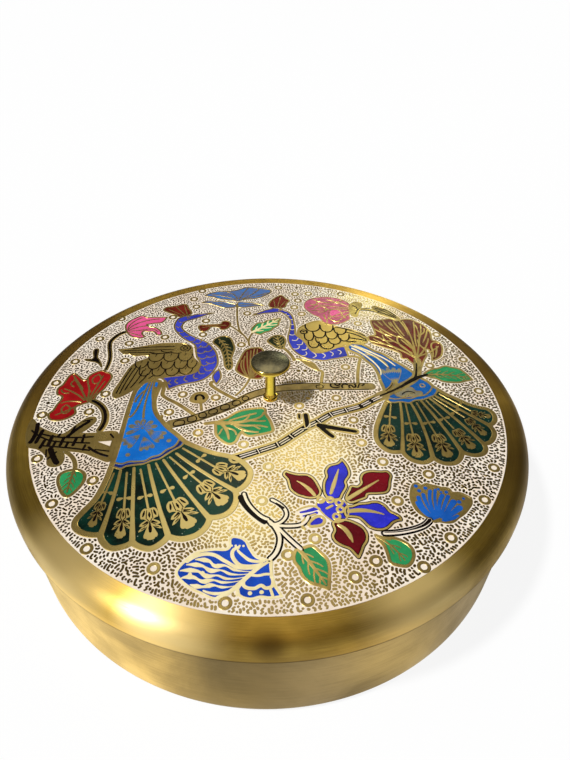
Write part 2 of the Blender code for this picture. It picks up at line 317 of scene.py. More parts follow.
def turnedCoordinates(tree, around, across):
    # Object coordinates bent round the axis: streaks run round the piece and are fine across it
    where = objectPlace(tree)
    flat = addNode(tree, "ShaderNodeVectorMath", {0: where, 1: (1, 1, 0)}, operation="MULTIPLY").outputs[0]
    heading = addNode(tree, "ShaderNodeVectorMath", {0: flat}, operation="NORMALIZE").outputs[0]
    radius = addNode(tree, "ShaderNodeVectorMath", {0: flat}, operation="LENGTH").outputs["Value"]
    height = addNode(tree, "ShaderNodeSeparateXYZ", {0: where}).outputs["Z"]
    fine = mathNode(tree, "MULTIPLY", mathNode(tree, "SUBTRACT", radius, height), across)
    wide = addNode(tree, "ShaderNodeVectorMath", {0: heading, "Scale": around}, operation="SCALE").outputs[0]
    parts = addNode(tree, "ShaderNodeSeparateXYZ", {0: wide}).outputs
    return addNode(tree, "ShaderNodeCombineXYZ", {0: parts["X"], 1: parts["Y"], 2: fine}).outputs[0]


def nearSpots(tree, where, spots):
    # 1 near each (x, y, near, far) spot of the lid, in millimetres, and 0 beyond
    share = None
    for x, y, near, far in spots:
        ends = {0: where, 1: (x * mm, y * mm, lidTop * mm)}
        away = addNode(tree, "ShaderNodeVectorMath", ends, operation="DISTANCE").outputs["Value"]
        found = remap(tree, away, near * mm, far * mm, 1.0, 0.0, interpolation_type="SMOOTHSTEP")
        share = mathNode(tree, "MAXIMUM", share, found) if share else found
    return share


# Where the window's glare lies on the lid in the photograph
# The materials that take these spots paint the glare into their colour
paintedGlareSpots = ((14, -29, 9, 26), (-7, -58, 8, 27), (47, 76, 4, 22))


def brassMaterial(name, bright, dull, roughness, around=7.0, across=2600.0, scratch=0.25, mottle=28.0,
        wave=0.0, brushed=0.0, haze=0.09, paintedGlareTone=None, spots=paintedGlareSpots, matt=0.6, metal=1.0, paintedReflectionTone=None,
        paintedReflectionSpots=(), shadedSeamHeight=None):
    # Brushed and handled brass: fine streaks, duller patches, and a roughness that follows both.
    # Brushing round the axis draws a light out into a fan across the streaks
    material, tree = plainMaterial(name)
    where = objectPlace(tree)
    streak = noise(tree, turnedCoordinates(tree, around, across), 1.0, 2.0)
    stain = remap(tree, noise(tree, where, mottle, 5.0, 0.55, 0.6), 0.34, 0.68)
    grain = mathNode(tree, "MULTIPLY", remap(tree, streak, 0.3, 0.7, -0.5, 0.5), scratch)
    polish = mathNode(tree, "ADD", stain, grain, use_clamp=True)
    tone = blend(tree, polish, linear(dull), linear(bright))
    # Painted glare: a lighter colour near the glare spots, and less metal there
    if paintedGlareTone:
        glare = nearSpots(tree, where, spots)
        tone = blend(tree, glare, tone, linear(paintedGlareTone))
    # Painted reflection: a lighter or darker colour near other spots
    if paintedReflectionTone:
        tone = blend(tree, nearSpots(tree, where, paintedReflectionSpots), tone, linear(paintedReflectionTone))
    if shadedSeamHeight:
        # Painted shade along the line where the lid meets the tub
        height = addNode(tree, "ShaderNodeSeparateXYZ", {0: where}).outputs["Z"]
        away = mathNode(tree, "ABSOLUTE", mathNode(tree, "SUBTRACT", height, shadedSeamHeight * mm))
        seamShadeShare = remap(tree, away, 0.2 * mm, 1.3 * mm, 0.9, 0.0, interpolation_type="SMOOTHSTEP")
        tone = blend(tree, seamShadeShare, tone, linear("#3d3120"))
    relief = {"Height": streak, "Strength": min(0.22, haze * 2.4), "Distance": 0.04 * mm}
    normal = addNode(tree, "ShaderNodeBump", relief).outputs[0]
    if wave:
        upright = addNode(tree, "ShaderNodeVectorMath", {0: where, 1: (1, 1, 0.35)},
            operation="MULTIPLY").outputs[0]
        swell = {"Height": noise(tree, upright, 60.0, 3.0), "Strength": wave, "Distance": 1.2 * mm,
            "Normal": normal}
        normal = addNode(tree, "ShaderNodeBump", swell).outputs[0]
    shader = addNode(tree, "ShaderNodeBsdfPrincipled", {
        "Base Color": tone,
        "Metallic": remap(tree, glare, 0.0, 1.0, metal, metal - matt) if paintedGlareTone else metal,
        "Roughness": remap(tree, polish, 0.0, 1.0, roughness + haze, roughness - haze / 3),
        "Normal": normal,
    })
    if brushed:
        shader.inputs["Anisotropic"].default_value = brushed
        shader.inputs["Anisotropic Rotation"].default_value = 0.25
        ways = addNode(tree, "ShaderNodeTangent", direction_type="RADIAL", axis="Z")
        tree.links.new(ways.outputs[0], shader.inputs["Tangent"])
    addNode(tree, "ShaderNodeOutputMaterial", {"Surface": shader.outputs[0]})
    return material


def enamelMaterial(name, colour, deep, roughness=0.16, specks=0.0, patch=90.0, shine=0.12, paintedGlareTone=None):
    # Fired enamel rubbed level with the brass: slow colour drift, small pits, pale specks and a low shine,
    # and a painted glare near the glare spots where asked
    material, tree = plainMaterial(name)
    where = objectPlace(tree)
    drift = remap(tree, noise(tree, where, patch, 4.0, 0.6), 0.36, 0.64)
    tone = blend(tree, drift, linear(deep), linear(colour))
    # Painted glare: a lighter colour near the glare spots
    if paintedGlareTone:
        tone = blend(tree, nearSpots(tree, where, paintedGlareSpots), tone, linear(paintedGlareTone))
    if specks:
        cells = addNode(tree, "ShaderNodeTexVoronoi", {"Vector": where, "Scale": 520.0}).outputs["Distance"]
        tone = blend(tree, remap(tree, cells, 0.04, 0.10, specks, 0.0), tone, linear("#cfd8c4"))
    pits = noise(tree, where, 900.0, 3.0)
    shader = addNode(tree, "ShaderNodeBsdfPrincipled", {
        "Base Color": tone,
        "Roughness": remap(tree, pits, 0.35, 0.7, roughness, roughness + 0.16),
        "Normal": addNode(tree, "ShaderNodeBump", {"Height": pits, "Strength": 0.25,
            "Distance": 0.05 * mm}).outputs[0],
        "Specular IOR Level": shine,
    })
    addNode(tree, "ShaderNodeOutputMaterial", {"Surface": shader.outputs[0]})
    return material


# Golden brass, brushed round the lid, for its border and skirt, with painted highlights at three spots of the
# front border, painted dark reflections at its left, right and front, and painted shade along the seam
lidBrass = brassMaterial("brushed golden brass", "#b99b4c", "#8f7638", 0.37, around=9.0, across=7000.0,
    scratch=0.6, brushed=0.94, paintedGlareTone="#e6cc8a", spots=((-62, -76, 4, 27), (46, -84, 4, 26),
    (-26, -98, 4, 22)), matt=0.3, paintedReflectionTone="#6b5528", paintedReflectionSpots=((-86, 26, 18, 60), (88, 34, 12, 40),
    (94, -30, -14, 44), (3, -101, 2, 9)), shadedSeamHeight=38.1)
# Paler and greyer brass with soft swells, for the tub's hand-worked wall, with painted shade along the seam
# under the lid
tubBrass = brassMaterial("worked pale brass", "#b6a272", "#8d7d58", 0.33, across=5000.0, scratch=0.5,
    mottle=30.0, wave=0.5, brushed=0.6, shadedSeamHeight=37.9)
# Bright polished brass for the knob
knobBrass = brassMaterial("polished yellow brass", "#ecd062", "#d0ac44", 0.09, scratch=0.15, mottle=160.0,
    haze=0.03)
# Its crown is painted dull and grey as a painted dark reflection, with less metal and more roughness
tree = knobBrass.node_tree
knobShader = tree.nodes["Principled BSDF"]
where = objectPlace(tree)
crown = remap(tree, addNode(tree, "ShaderNodeSeparateXYZ", {0: where}).outputs["Z"], 64.95 * mm, 65.2 * mm)
crownDarkReflection = blend(tree, remap(tree, noise(tree, where, 420.0, 4.0, 0.6), 0.35, 0.65), linear("#3c3a2b"),
    linear("#615c45"))
polished = knobShader.inputs["Base Color"].links[0].from_socket
tree.links.new(blend(tree, crown, polished, crownDarkReflection), knobShader.inputs["Base Color"])
tree.links.new(remap(tree, crown, 0.0, 1.0, 1.0, 0.6), knobShader.inputs["Metallic"])
tree.links.new(remap(tree, crown, 0.0, 1.0, 0.09, 0.22), knobShader.inputs["Roughness"])
# Plain brass of the cups, the spoon and the fasteners
cupBrass = brassMaterial("spun cup brass", "#d2b268", "#ab8c49", 0.26, mottle=40.0)
spoonBrass = brassMaterial("rubbed spoon brass", "#d9bb72", "#b39552", 0.24, mottle=60.0)
fastenerBrass = brassMaterial("bright turned brass", "#d0ac5c", "#a58642", 0.22, mottle=200.0)
# The brass left standing between the enamels, rubbed flat and a little dark, with painted glare at the front
# and a lighter painted reflection at the back right
figureBrass = brassMaterial("rubbed inlay brass", "#b39d5e", "#857241", 0.28, mottle=120.0, paintedGlareTone="#c4b06c",
    spots=((8, -40, 16, 44), (-24, -54, 10, 34)), metal=0.8, paintedReflectionTone="#bda25a",
    paintedReflectionSpots=((60, 42, -24, 26), (27, 44, 8, 20)))
# Strokes of the ground pattern in a darker brass, with painted glare at the glare spots and a lighter painted
# reflection at the front
groundBrass = brassMaterial("tarnished ground brass", "#7a673c", "#514222", 0.27, mottle=300.0,
    paintedGlareTone="#c4ae66", spots=((14, -29, 6, 24), (-7, -56, 5, 24), (46, 74, 4, 24), (6, -96, 12, 42)),
    paintedReflectionTone="#9c8650", paintedReflectionSpots=((6, -96, 12, 42),))
# Wide pale lines in the blue flower and the branches, painted near white with little metal: a painted
# highlight on the brass
paleBrass = brassMaterial("pale rubbed brass", "#f6edc4", "#e6d7a0", 0.36, mottle=200.0, metal=0.15)
# White enamel ground with a painted glare near the glare spots
groundWhite = enamelMaterial("aged white enamel", "#f4ede4", "#e9dacb", 0.22, patch=45.0, shine=0.4,
    paintedGlareTone="#f4eacb")
darkEnamel = enamelMaterial("black brown enamel", "#150d0b", "#0a0606", 0.2, shine=0.05)

enamels = {
    "cobalt": enamelMaterial("violet blue enamel", "#3b46c6", "#2b339a"),
    "starBlue": enamelMaterial("bright violet blue enamel", "#3034de", "#2226b4"),
    "azure": enamelMaterial("azure blue enamel", "#1478dc", "#0a62c0"),
    "azureRight": enamelMaterial("deeper azure enamel", "#0c60b8", "#0a5096"),
    "peacock": enamelMaterial("dark peacock green enamel", "#0b382d", "#03110d", specks=0.8, patch=70.0),
    "peacockRight": enamelMaterial("darker peacock green enamel", "#0d3029", "#030f0d", specks=0.5,
        patch=70.0),
    "russet": enamelMaterial("red brown enamel", "#6e2418", "#4d1710"),
    "pink": enamelMaterial("pink enamel", "#e65f9c", "#cf4c86"),
    "crimson": enamelMaterial("crimson enamel", "#a5161c", "#840e12"),
    "leaf": enamelMaterial("leaf green enamel", "#2f9a60", "#1f7a4a", specks=0.3),
    "steel": enamelMaterial("grey blue enamel", "#3f74bc", "#5f6788", patch=260.0),
    "magenta": enamelMaterial("rose enamel", "#c85a80", "#a3506a", patch=260.0),
    "maroon": enamelMaterial("maroon enamel", "#74081a", "#540612", shine=0.06),
    "royal": enamelMaterial("royal blue enamel", "#0f4cc6", "#0b3ca6"),
    "lotusBlue": enamelMaterial("clear blue enamel", "#1a63c8", "#124a9e"),
    "navy": enamelMaterial("navy enamel", "#16358c", "#0c1d58"),
    "darkLeaf": enamelMaterial("black green enamel", "#2a3820", "#12160d"),
    "dark": darkEnamel,
}
# Brass shapes in the two trains, greyed by the blue that has crept over them
trainBrass = brassMaterial("blue tinged brass", "#9a8e68", "#6c7078", 0.3, mottle=420.0, metal=0.7)
# Duller brown brass of the upper branch
branchBrass = brassMaterial("dull brown brass", "#a48f58", "#77673f", 0.3, mottle=200.0, metal=0.7)
print("materials made")


# Lid shell: flat brass border round the recess for the enamel, rolled shoulder and skirt
lid = {"top": lidTop, "recess": 91.1, "floor": 46.2, "shoulder": 94.4, "radius": 100.0, "round": 2.2,
    "shoulderEnd": 40.4, "edge": 38.0, "inner": 98.8, "under": 45.3, "bore": 1.8}
section = [(lid["bore"], lid["floor"]),
    (lid["recess"], lid["floor"]), (lid["recess"], lid["top"] - 0.06), (lid["recess"] + 0.06, lid["top"])]
section += [(92.6, lid["top"]), (lid["shoulder"] - 0.4, lid["top"])]
shoulderRun, shoulderDrop = lid["radius"] - lid["shoulder"], lid["top"] - lid["shoulderEnd"]
for turn in np.radians(np.linspace(90, 0, 28)):
    run, drop = math.cos(turn) ** (2 / lid["round"]), math.sin(turn) ** (2 / lid["round"])
    section.append((lid["shoulder"] + shoulderRun * run, lid["shoulderEnd"] + shoulderDrop * drop))
section += arc((lid["radius"] - 0.5, lid["edge"] + 0.5), (0.5, 0.5), 0, -90, 6)
section += [(lid["inner"] + 0.1, lid["edge"]), (lid["inner"], lid["edge"] + 0.1)]
section += arc((lid["inner"] - 3.3, lid["shoulderEnd"]), (3.3, lid["under"] - lid["shoulderEnd"]), 0, 90, 10)
section += [(lid["bore"], lid["under"])]
lidShell = turned("lid_shell", section, 288, lidBrass, closed=True)
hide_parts("lid")
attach(lidShell, "lid")

# Tub: plain wall with a rounded foot, its shoulder turned in under the lid
tub = {"radius": 98.4, "inner": 97.2, "height": 45.0, "mouth": 93.9, "turn": 40.4, "fillet": 3.0,
    "floor": 1.2}
section = [(0, tub["floor"])]
section += arc((tub["inner"] - 1.8, tub["floor"] + 1.8), (1.8, 1.8), -90, 0, 8)
section += arc((tub["mouth"], tub["turn"]), (3.3, 3.4), 0, 90, 8)
section += [(tub["mouth"], tub["height"] - 0.2), (tub["mouth"] + 0.2, tub["height"])]
section += arc((tub["radius"] - 3.3, tub["turn"]), (3.3, 4.6), 90, 0, 12)
section += [(tub["radius"], 30.0), (tub["radius"], 15.0)]
section += arc((tub["radius"] - tub["fillet"], tub["fillet"]), (tub["fillet"], tub["fillet"]), 0, -90, 10)
section += [(0, 0)]
tubShell = turned("tub_shell", section, 288, tubBrass)
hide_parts("tub")
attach(tubShell, "tub")

# Knob: a flat mushroom head on a slim stem, with its foot on the lid and its stud below
knob = {"crown": 65.7, "headRadius": 7.7, "head": 2.4, "dome": 0.4, "stem": 2.1, "flare": 0.9, "foot": 47.2,
    "footRadius": 2.9, "stud": 1.5, "end": 41.5}
rim = (knob["head"] - knob["dome"]) / 2
headShares = np.linspace(0, 0.94, 8)
section = [((knob["headRadius"] - rim) * s, knob["crown"] - knob["dome"] * s * s) for s in headShares]
section += arc((knob["headRadius"] - rim, knob["crown"] - knob["dome"] - rim), (rim, rim), 90, -90, 16)
under = knob["crown"] - knob["head"]
section += [(4.6, under + 0.02)]
section += arc((knob["stem"] + knob["flare"], under - knob["flare"]), (knob["flare"], knob["flare"]),
    90, 180, 8)
section += arc((knob["footRadius"], knob["foot"] + 1.5), (0.8, 0.8), 180, 270, 8)
section += [(knob["footRadius"], knob["foot"] + 0.5),
    (knob["footRadius"], knob["foot"]), (knob["stud"], knob["foot"])]
section += [(knob["stud"], knob["end"] + 0.3), (knob["stud"] - 0.3, knob["end"]), (0, knob["end"])]
knobPiece = turned("turned_knob", section, 96, knobBrass)
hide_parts("knob")
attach(knobPiece, "lid")
print("lid, tub and knob turned")

# Cups: seven spun bowls with rolled rims, each where its CAD node stands
cup = {"rim": 30.7, "wall": 0.9, "bead": 0.9, "fillet": 5.0, "taper": 2.4, "bottom": 1.5, "top": 35.5,
    "ring": 62.3}
wallTop = cup["rim"] - cup["bead"]
base = wallTop - cup["taper"]
low, high = cup["bottom"], cup["top"]
section = [(0, low + cup["wall"])]
inside = cup["fillet"] - cup["wall"]
section += arc((base - cup["fillet"], low + cup["fillet"]), (inside, inside), -90, 0, 6)
section += arc((wallTop, high - cup["bead"]), (cup["bead"], cup["bead"]), 180, -60, 12)
section += [(wallTop, high - 3 * cup["bead"])]
section += arc((base - cup["fillet"], low + cup["fillet"]), (cup["fillet"], cup["fillet"]), 0, -90, 6)
section += [(0, low)]
cupPlaces = {"cup_centre": (0, 0)}
for i in range(6):
    angle = math.tau * i / 6
    cupPlaces[f"cup_{i + 1}"] = (cup["ring"] * math.cos(angle), cup["ring"] * math.sin(angle))
for node, centre in cupPlaces.items():
    piece = turned("spun_" + node, section, 96, cupBrass, centre=centre)
    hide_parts(node)
    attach(piece, node)

# Spoon: a round dished bowl and a crowned strip that widens to a round tip
spoon = {"x": -46.7, "y": 9.2, "top": 37.0, "bowl": 9.0, "depth": 4.5, "sheet": 1.0, "end": 91.0,
    "neck": 1.7, "tip": 3.5, "rest": 35.8, "start": 7.9, "shaft": 86.0,
    "widensAt": 30.0, "widensOver": 52.0}
ball = (spoon["bowl"] ** 2 + spoon["depth"] ** 2) / (2 * spoon["depth"])
ballCentre = (0, spoon["top"] - spoon["depth"] + ball)
outerAngle = math.degrees(math.asin((spoon["top"] - ballCentre[1]) / ball))
inner = ball - spoon["sheet"]
innerAngle = math.degrees(math.asin((spoon["top"] - ballCentre[1]) / inner))
section = arc(ballCentre, (inner, inner), -90, innerAngle - 2, 12)
section += [(spoon["bowl"] - 0.6, spoon["top"] - 0.05), (spoon["bowl"] - 0.25, spoon["top"])]
section += arc(ballCentre, (ball, ball), outerAngle - 1, -90, 12)
section[0], section[-1] = (0, section[0][1]), (0, section[-1][1])
spoonBowl = turned("spoon_bowl", section, 72, spoonBrass, centre=(spoon["x"], spoon["y"]))
vertices, faces = [], []
tipTurns = np.linspace(0.15, 1, 12) * math.pi / 2
tipStations = spoon["end"] - (spoon["end"] - spoon["shaft"]) * (1 - np.sin(tipTurns))
stations = np.concatenate([np.linspace(spoon["start"], spoon["shaft"], 40), tipStations])
tipCentre = spoon["end"] - spoon["tip"]
for x in stations:
    half = spoon["neck"] + 0.9 * math.exp(-((x - spoon["start"]) / 4.0) ** 2)
    widened = min(1, max(0, (x - spoon["widensAt"]) / spoon["widensOver"]))
    half += (spoon["tip"] - spoon["neck"]) * widened ** 1.4
    if x > tipCentre:
        half = spoon["tip"] * math.sqrt(max(0.0004, 1 - ((x - tipCentre) / spoon["tip"]) ** 2))
    for side, height in ((-1, 0.1), (-0.9, 0), (0.9, 0), (1, 0.1), (0.98, 0.45), (0.6, 0.8), (0, 0.9),
            (-0.6, 0.8), (-0.98, 0.45)):
        vertices.append((spoon["x"] + x, spoon["y"] + side * half, spoon["rest"] + height))
ribs = 9
for i in range(len(stations) - 1):
    for k in range(ribs):
        a, b = i * ribs + k, i * ribs + (k + 1) % ribs
        faces.append([a, a + ribs, b + ribs, b])
faces.append(list(range(ribs)))
faces.append([(len(stations) - 1) * ribs + k for k in reversed(range(ribs))])
spoonHandle = meshObject("spoon_handle", vertices, faces, spoonBrass, 50)
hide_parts("spoon")
for piece in (spoonBowl, spoonHandle):
    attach(piece, "spoon")

# Washer and nut that hold the knob's stud under the lid
washer = {"bore": 1.8, "radius": 4.0, "top": 45.0, "bottom": 44.4}
section = [(washer["bore"], washer["top"]),
    (washer["radius"] - 0.1, washer["top"]), (washer["radius"], washer["top"] - 0.1)]
section += [(washer["radius"], washer["bottom"] + 0.1),
    (washer["radius"] - 0.1, washer["bottom"]), (washer["bore"], washer["bottom"])]
washerPiece = turned("stud_washer", section, 64, fastenerBrass, closed=True)
nut = {"bore": 1.8, "corner": 3.2, "top": 44.1, "bottom": 41.9, "chamfer": 0.35}
vertices, faces = [], []
sides = 48
nutRows = ((nut["top"], 0, True), (nut["top"], nut["chamfer"], False), (nut["top"] - 0.3, 0, False))
nutRows += ((nut["bottom"] + 0.3, 0, False), (nut["bottom"], nut["chamfer"], False), (nut["bottom"], 0, True))
for height, cut, onBore in nutRows:
    for k in range(sides):
        angle = math.tau * k / sides
        flat = nut["corner"] * math.cos(math.pi / 6) / math.cos((angle % (math.pi / 3)) - math.pi / 6)
        radius = nut["bore"] if onBore else min(flat, nut["corner"] - cut)
        vertices.append((radius * math.cos(angle), radius * math.sin(angle), height))
for i in range(6):
    for k in range(sides):
        a, b = i * sides + k, i * sides + (k + 1) % sides
        c, d = (i + 1) % 6 * sides + (k + 1) % sides, (i + 1) % 6 * sides + k
        faces.append([a, d, c, b])
nutPiece = meshObject("stud_nut", vertices, faces, fastenerBrass, 30)
for piece, node in ((washerPiece, "knob_washer"), (nutPiece, "knob_nut")):
    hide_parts(node)
    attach(piece, "lid")
print("cups, spoon and fasteners made")


# The drawing on the lid, in millimetres from the lid's middle: x to the right, y to the back
plates = defaultdict(list)
lines = {"brass": [], "dark": [], "pale": [], "white": []}
motifs = []


def smoothPath(points, closed=False, step=0.45):
    return smoothRuns(points, closed, step)[0]


def smoothRuns(points, closed=False, step=0.45):
    # A smooth curve through given points, and where its corners are. A third value marks a corner
    spots = np.array([point[:2] for point in points], float)
    count = len(spots)
    corner = [len(point) > 2 or (not closed and i in (0, count - 1)) for i, point in enumerate(points)]
    headings = np.roll(spots, -1, 0) - np.roll(spots, 1, 0)
    headings /= np.maximum(np.linalg.norm(headings, axis=1, keepdims=True), 1e-9)
    pieces, breaks, made = [], [], 0
    for i in range(count if closed else count - 1):
        if corner[i] and (closed or i):
            breaks.append(made)
        j = (i + 1) % count
        run = spots[j] - spots[i]
        length = max(np.linalg.norm(run), 1e-6)
        chord = run / length
        leave, arrive = headings[i], headings[j]
        if corner[i] and corner[j]:
            leave, arrive = chord, chord
        elif corner[i]:
            leave = 2 * (arrive @ chord) * chord - arrive
        elif corner[j]:
            arrive = 2 * (leave @ chord) * chord - leave
        steps = max(2, round(length / step))
        t = (np.arange(steps) / steps)[:, None]
        curve = (2 * t ** 3 - 3 * t ** 2 + 1) * spots[i] + (t ** 3 - 2 * t ** 2 + t) * leave * length
        curve = curve + (3 * t ** 2 - 2 * t ** 3) * spots[j] + (t ** 3 - t ** 2) * arrive * length
        pieces.append(curve)
        made += steps
    if not closed:
        pieces.append(spots[-1:])
    return np.concatenate(pieces), breaks


def addWay(kind, path, widths, level, closed=False, breaks=()):
    # Splits a line at its corners and rounds the ends of each run
    if closed and not len(breaks):
        lines[kind].append((path, widths, level, True))
        return
    cuts = [0, *breaks, len(path) - 1]
    if closed:
        path, widths = np.roll(path, -breaks[0], 0), np.roll(widths, -breaks[0])
        path, widths = np.concatenate([path, path[:1]]), np.append(widths, widths[0])
        cuts = [found - breaks[0] for found in breaks] + [len(path) - 1]
    turns = np.radians([30, 58, 82])
    for a, b in zip(cuts, cuts[1:]):
        run, wide = path[a:b + 1], widths[a:b + 1]
        if len(run) < 2:
            continue
        before, after = run[0] - run[1], run[-1] - run[-2]
        before, after = before / np.linalg.norm(before), after / np.linalg.norm(after)
        head = run[0] + before * wide[0] / 2 * np.sin(turns[::-1, None])
        tail = run[-1] + after * wide[-1] / 2 * np.sin(turns[:, None])
        run = np.concatenate([head, run, tail])
        wide = np.concatenate([wide[0] * np.cos(turns[::-1]), wide, wide[-1] * np.cos(turns)])
        lines[kind].append((run, wide, level, False))


def drawLine(points, width, kind="brass", level=1, closed=False, clear=False):
    path, breaks = smoothRuns(points, closed)
    widths = spreadWidths(path, width)
    addWay(kind, path, widths, level, closed, breaks)
    if clear:
        motifs.append((path, closed, widths.max() / 2, False))


def drawLines(ways, *settings):
    for points in ways:
        drawLine(points, *settings)


def drawStem(points, outer, inner):
    # A wide line with a narrower one on it, each with its width, its finish and its level
    drawLine(points, *outer, clear=True)
    drawLine(points, *inner)


def drawCell(points, colour, border=0.9, level=0, clear=True, edge=None, moat=0.0, rim="brass"):
    # An enamel cell or a brass field, with a line round it or only along the first points of its outline
    loop, breaks = smoothRuns(points, True)
    plates[colour].append((loop, level))
    if edge:
        drawLine(points[:edge], border, level=level + 1)
    elif border:
        addWay(rim, loop, np.full(len(loop), border), level + 1, True, breaks)
    if clear:
        motifs.append((loop, True, border / 2 + moat, True))


def spreadWidths(path, width):
    # A width may be one number, a first and a last, or several spread evenly along the line
    widths = np.atleast_1d(np.asarray(width, float))
    return np.interp(np.linspace(0, 1, len(path)), np.linspace(0, 1, len(widths)), widths)


def strip(path, half, ends=7):
    # The closed outline of a stroke with round ends
    half = np.broadcast_to(np.asarray(half, float), (len(path),))[:, None]
    heading = np.gradient(path, axis=0)
    heading /= np.linalg.norm(heading, axis=1, keepdims=True)
    side = np.stack([-heading[:, 1], heading[:, 0]], 1)
    turns = np.linspace(math.pi / 2, -math.pi / 2, ends)[1:-1, None]
    tip = path[-1] + half[-1] * (np.cos(turns) * heading[-1] + np.sin(turns) * side[-1])
    tail = path[0] - half[0] * (np.cos(turns) * heading[0] + np.sin(turns) * side[0])
    return np.concatenate([path + side * half, tip, (path - side * half)[::-1], tail])


def band(points, width, colour, level=0, clear=True):
    # A flat strip along a path, with round ends
    path = smoothPath(points)
    widths = spreadWidths(path, width)
    plates[colour].append((strip(path, widths / 2), level))
    if clear:
        motifs.append((path, False, widths.max() / 2, False))


def ring(x, y, outer=2.0, inner=1.05, kind="brass", level=0, clear=True):
    angles = np.linspace(0, math.tau, 29)[:-1]
    circle = np.stack([x + (outer + inner) / 2 * np.cos(angles), y + (outer + inner) / 2 * np.sin(angles)], 1)
    lines[kind].append((circle, np.full(28, outer - inner), level, True))
    if clear:
        motifs.append((circle, True, (outer - inner) / 2, True))


def swung(x, y, angle, u, v):
    # The point (u, v) of a shape that is turned by an angle in degrees and set down at (x, y)
    a = math.radians(angle)
    return x + u * math.cos(a) - v * math.sin(a), y + u * math.sin(a) + v * math.cos(a)


def petal(x, y, angle, start, length, width, colour="brassField", level=1):
    # A drop that points away from (x, y), its widest place beyond the middle
    shape = ((0, 0, 1), (0.35, 0.32), (0.72, 0.5), (0.94, 0.28), (1, 0), (0.94, -0.28), (0.72, -0.5),
        (0.35, -0.32))
    points = []
    for along, across, *sharp in shape:
        points.append((*swung(x, y, angle, start + along * length, across * width), *sharp))
    plates[colour].append((smoothPath(points, True, 0.3), level))


def dot(x, y, radius, colour="brassField", level=1):
    angles = np.linspace(0, math.tau, 17)[:-1]
    circle = np.stack([x + radius * np.cos(angles), y + radius * np.sin(angles)], 1)
    plates[colour].append((circle, level))


def crescent(x, y, width, angle, thick, kind="brass"):
    # A shallow feather mark: an arc across the neck
    shares = (-1, -0.55, 0, 0.55, 1)
    drawLine([swung(x, y, angle, s * width / 2, -0.34 * width * (1 - s * s)) for s in shares], thick, kind)


def palmette(x, y, length, halfWidth, towards):
    # A gold flower head at its stem's end: two eared lobes, two pointed leaves each side and a scalloped
    # tongue, parted by dark slits
    ux, uy = np.array(towards) / math.hypot(*towards)

    def spot(u, v, *sharp):
        along, across = (u - 0.5) * length, v * halfWidth
        return (x + along * ux - across * uy, y + along * uy + across * ux, *sharp)

    half = ((0.02, 0.15), (0.0, 0.38), (0.05, 0.6), (0.14, 0.74), (0.25, 0.78), (0.33, 0.72, 1),
        (0.34, 0.5), (0.39, 0.3, 1), (0.42, 0.55), (0.47, 0.78), (0.54, 0.9, 1), (0.56, 0.7),
        (0.55, 0.5, 1), (0.6, 0.74), (0.65, 0.9), (0.71, 1.02, 1), (0.7, 0.78), (0.65, 0.5), (0.57, 0.2, 1),
        (0.66, 0.34), (0.76, 0.48), (0.86, 0.6), (0.93, 0.53), (0.94, 0.36, 1), (0.99, 0.28), (1.0, 0.1))
    outline = [spot(0, 0)] + [spot(u, v, *sharp) for u, v, *sharp in half]
    outline += [spot(u, -v, *sharp) for u, v, *sharp in half[::-1]]
    loop = smoothPath(outline, True, 0.3)
    plates["brassField"].append((loop, 1))
    size = length / 12
    slits = [((0.15, 0), (0.23, 0), (0.31, 0), (0.35, 0.8, 0.3)),
        ((0.45, 0), (0.62, 0), (0.75, 0), (0.3, 0.6, 1.1, 0.9))]
    for side in (-1, 1):
        slits.append(((0.09, 0.40 * side), (0.16, 0.46 * side), (0.25, 0.56 * side), (0.4, 0.75, 0.45)))
        slits.append(((0.08, 0.2 * side), (0.2, 0.25 * side), (0.34, 0.28 * side), (0.25, 0.3, 0.3)))
        slits.append(((0.36, 0.2 * side), (0.4, 0.12 * side), (0.44, 0.06 * side), (0.3, 0.3, 0.2)))
        slits.append(((0.45, 0.24 * side), (0.48, 0.4 * side), (0.51, 0.62 * side), (0.75, 0.6, 0.25)))
        slits.append(((0.56, 0.5 * side), (0.52, 0.3 * side), (0.47, 0.12 * side), (0.32, 0.3, 0.25)))
        slits.append(((0.61, 0.42 * side), (0.63, 0.56 * side), (0.66, 0.74 * side), (0.2, 0.35, 0.2)))
    for *points, widths in slits:
        drawLine([spot(u, v) for u, v in points], [w * size for w in widths], "dark", 3)


def shellLeaf(x, y, heading, radius, spread, colour, lineColour, scallops=3):
    # A fan with a scalloped edge and fine rays of the enamel round it
    a = math.radians(heading)
    outline = [(x, y, 1)]
    for k in range(scallops):
        for share, out in ((0.08, 0.86), (0.5, 1.0), (0.92, 0.86)):
            turn = a + math.radians(spread) * (2 * (k + share) / scallops - 1)
            sharp = (1,) if out < 1 and share < 0.5 and k else ()
            outline.append((x + radius * out * math.cos(turn), y + radius * out * math.sin(turn), *sharp))
    loop = smoothPath(outline, True, 0.3)
    plates[colour].append((loop, 1))
    rays = 2 * scallops + 1
    for k in range(rays):
        turn = heading + spread * (2 * (k + 0.5) / rays - 1) * 0.94
        petal(x, y, turn, radius * 0.28, radius * 0.48, radius * 0.075, lineColour, 2)


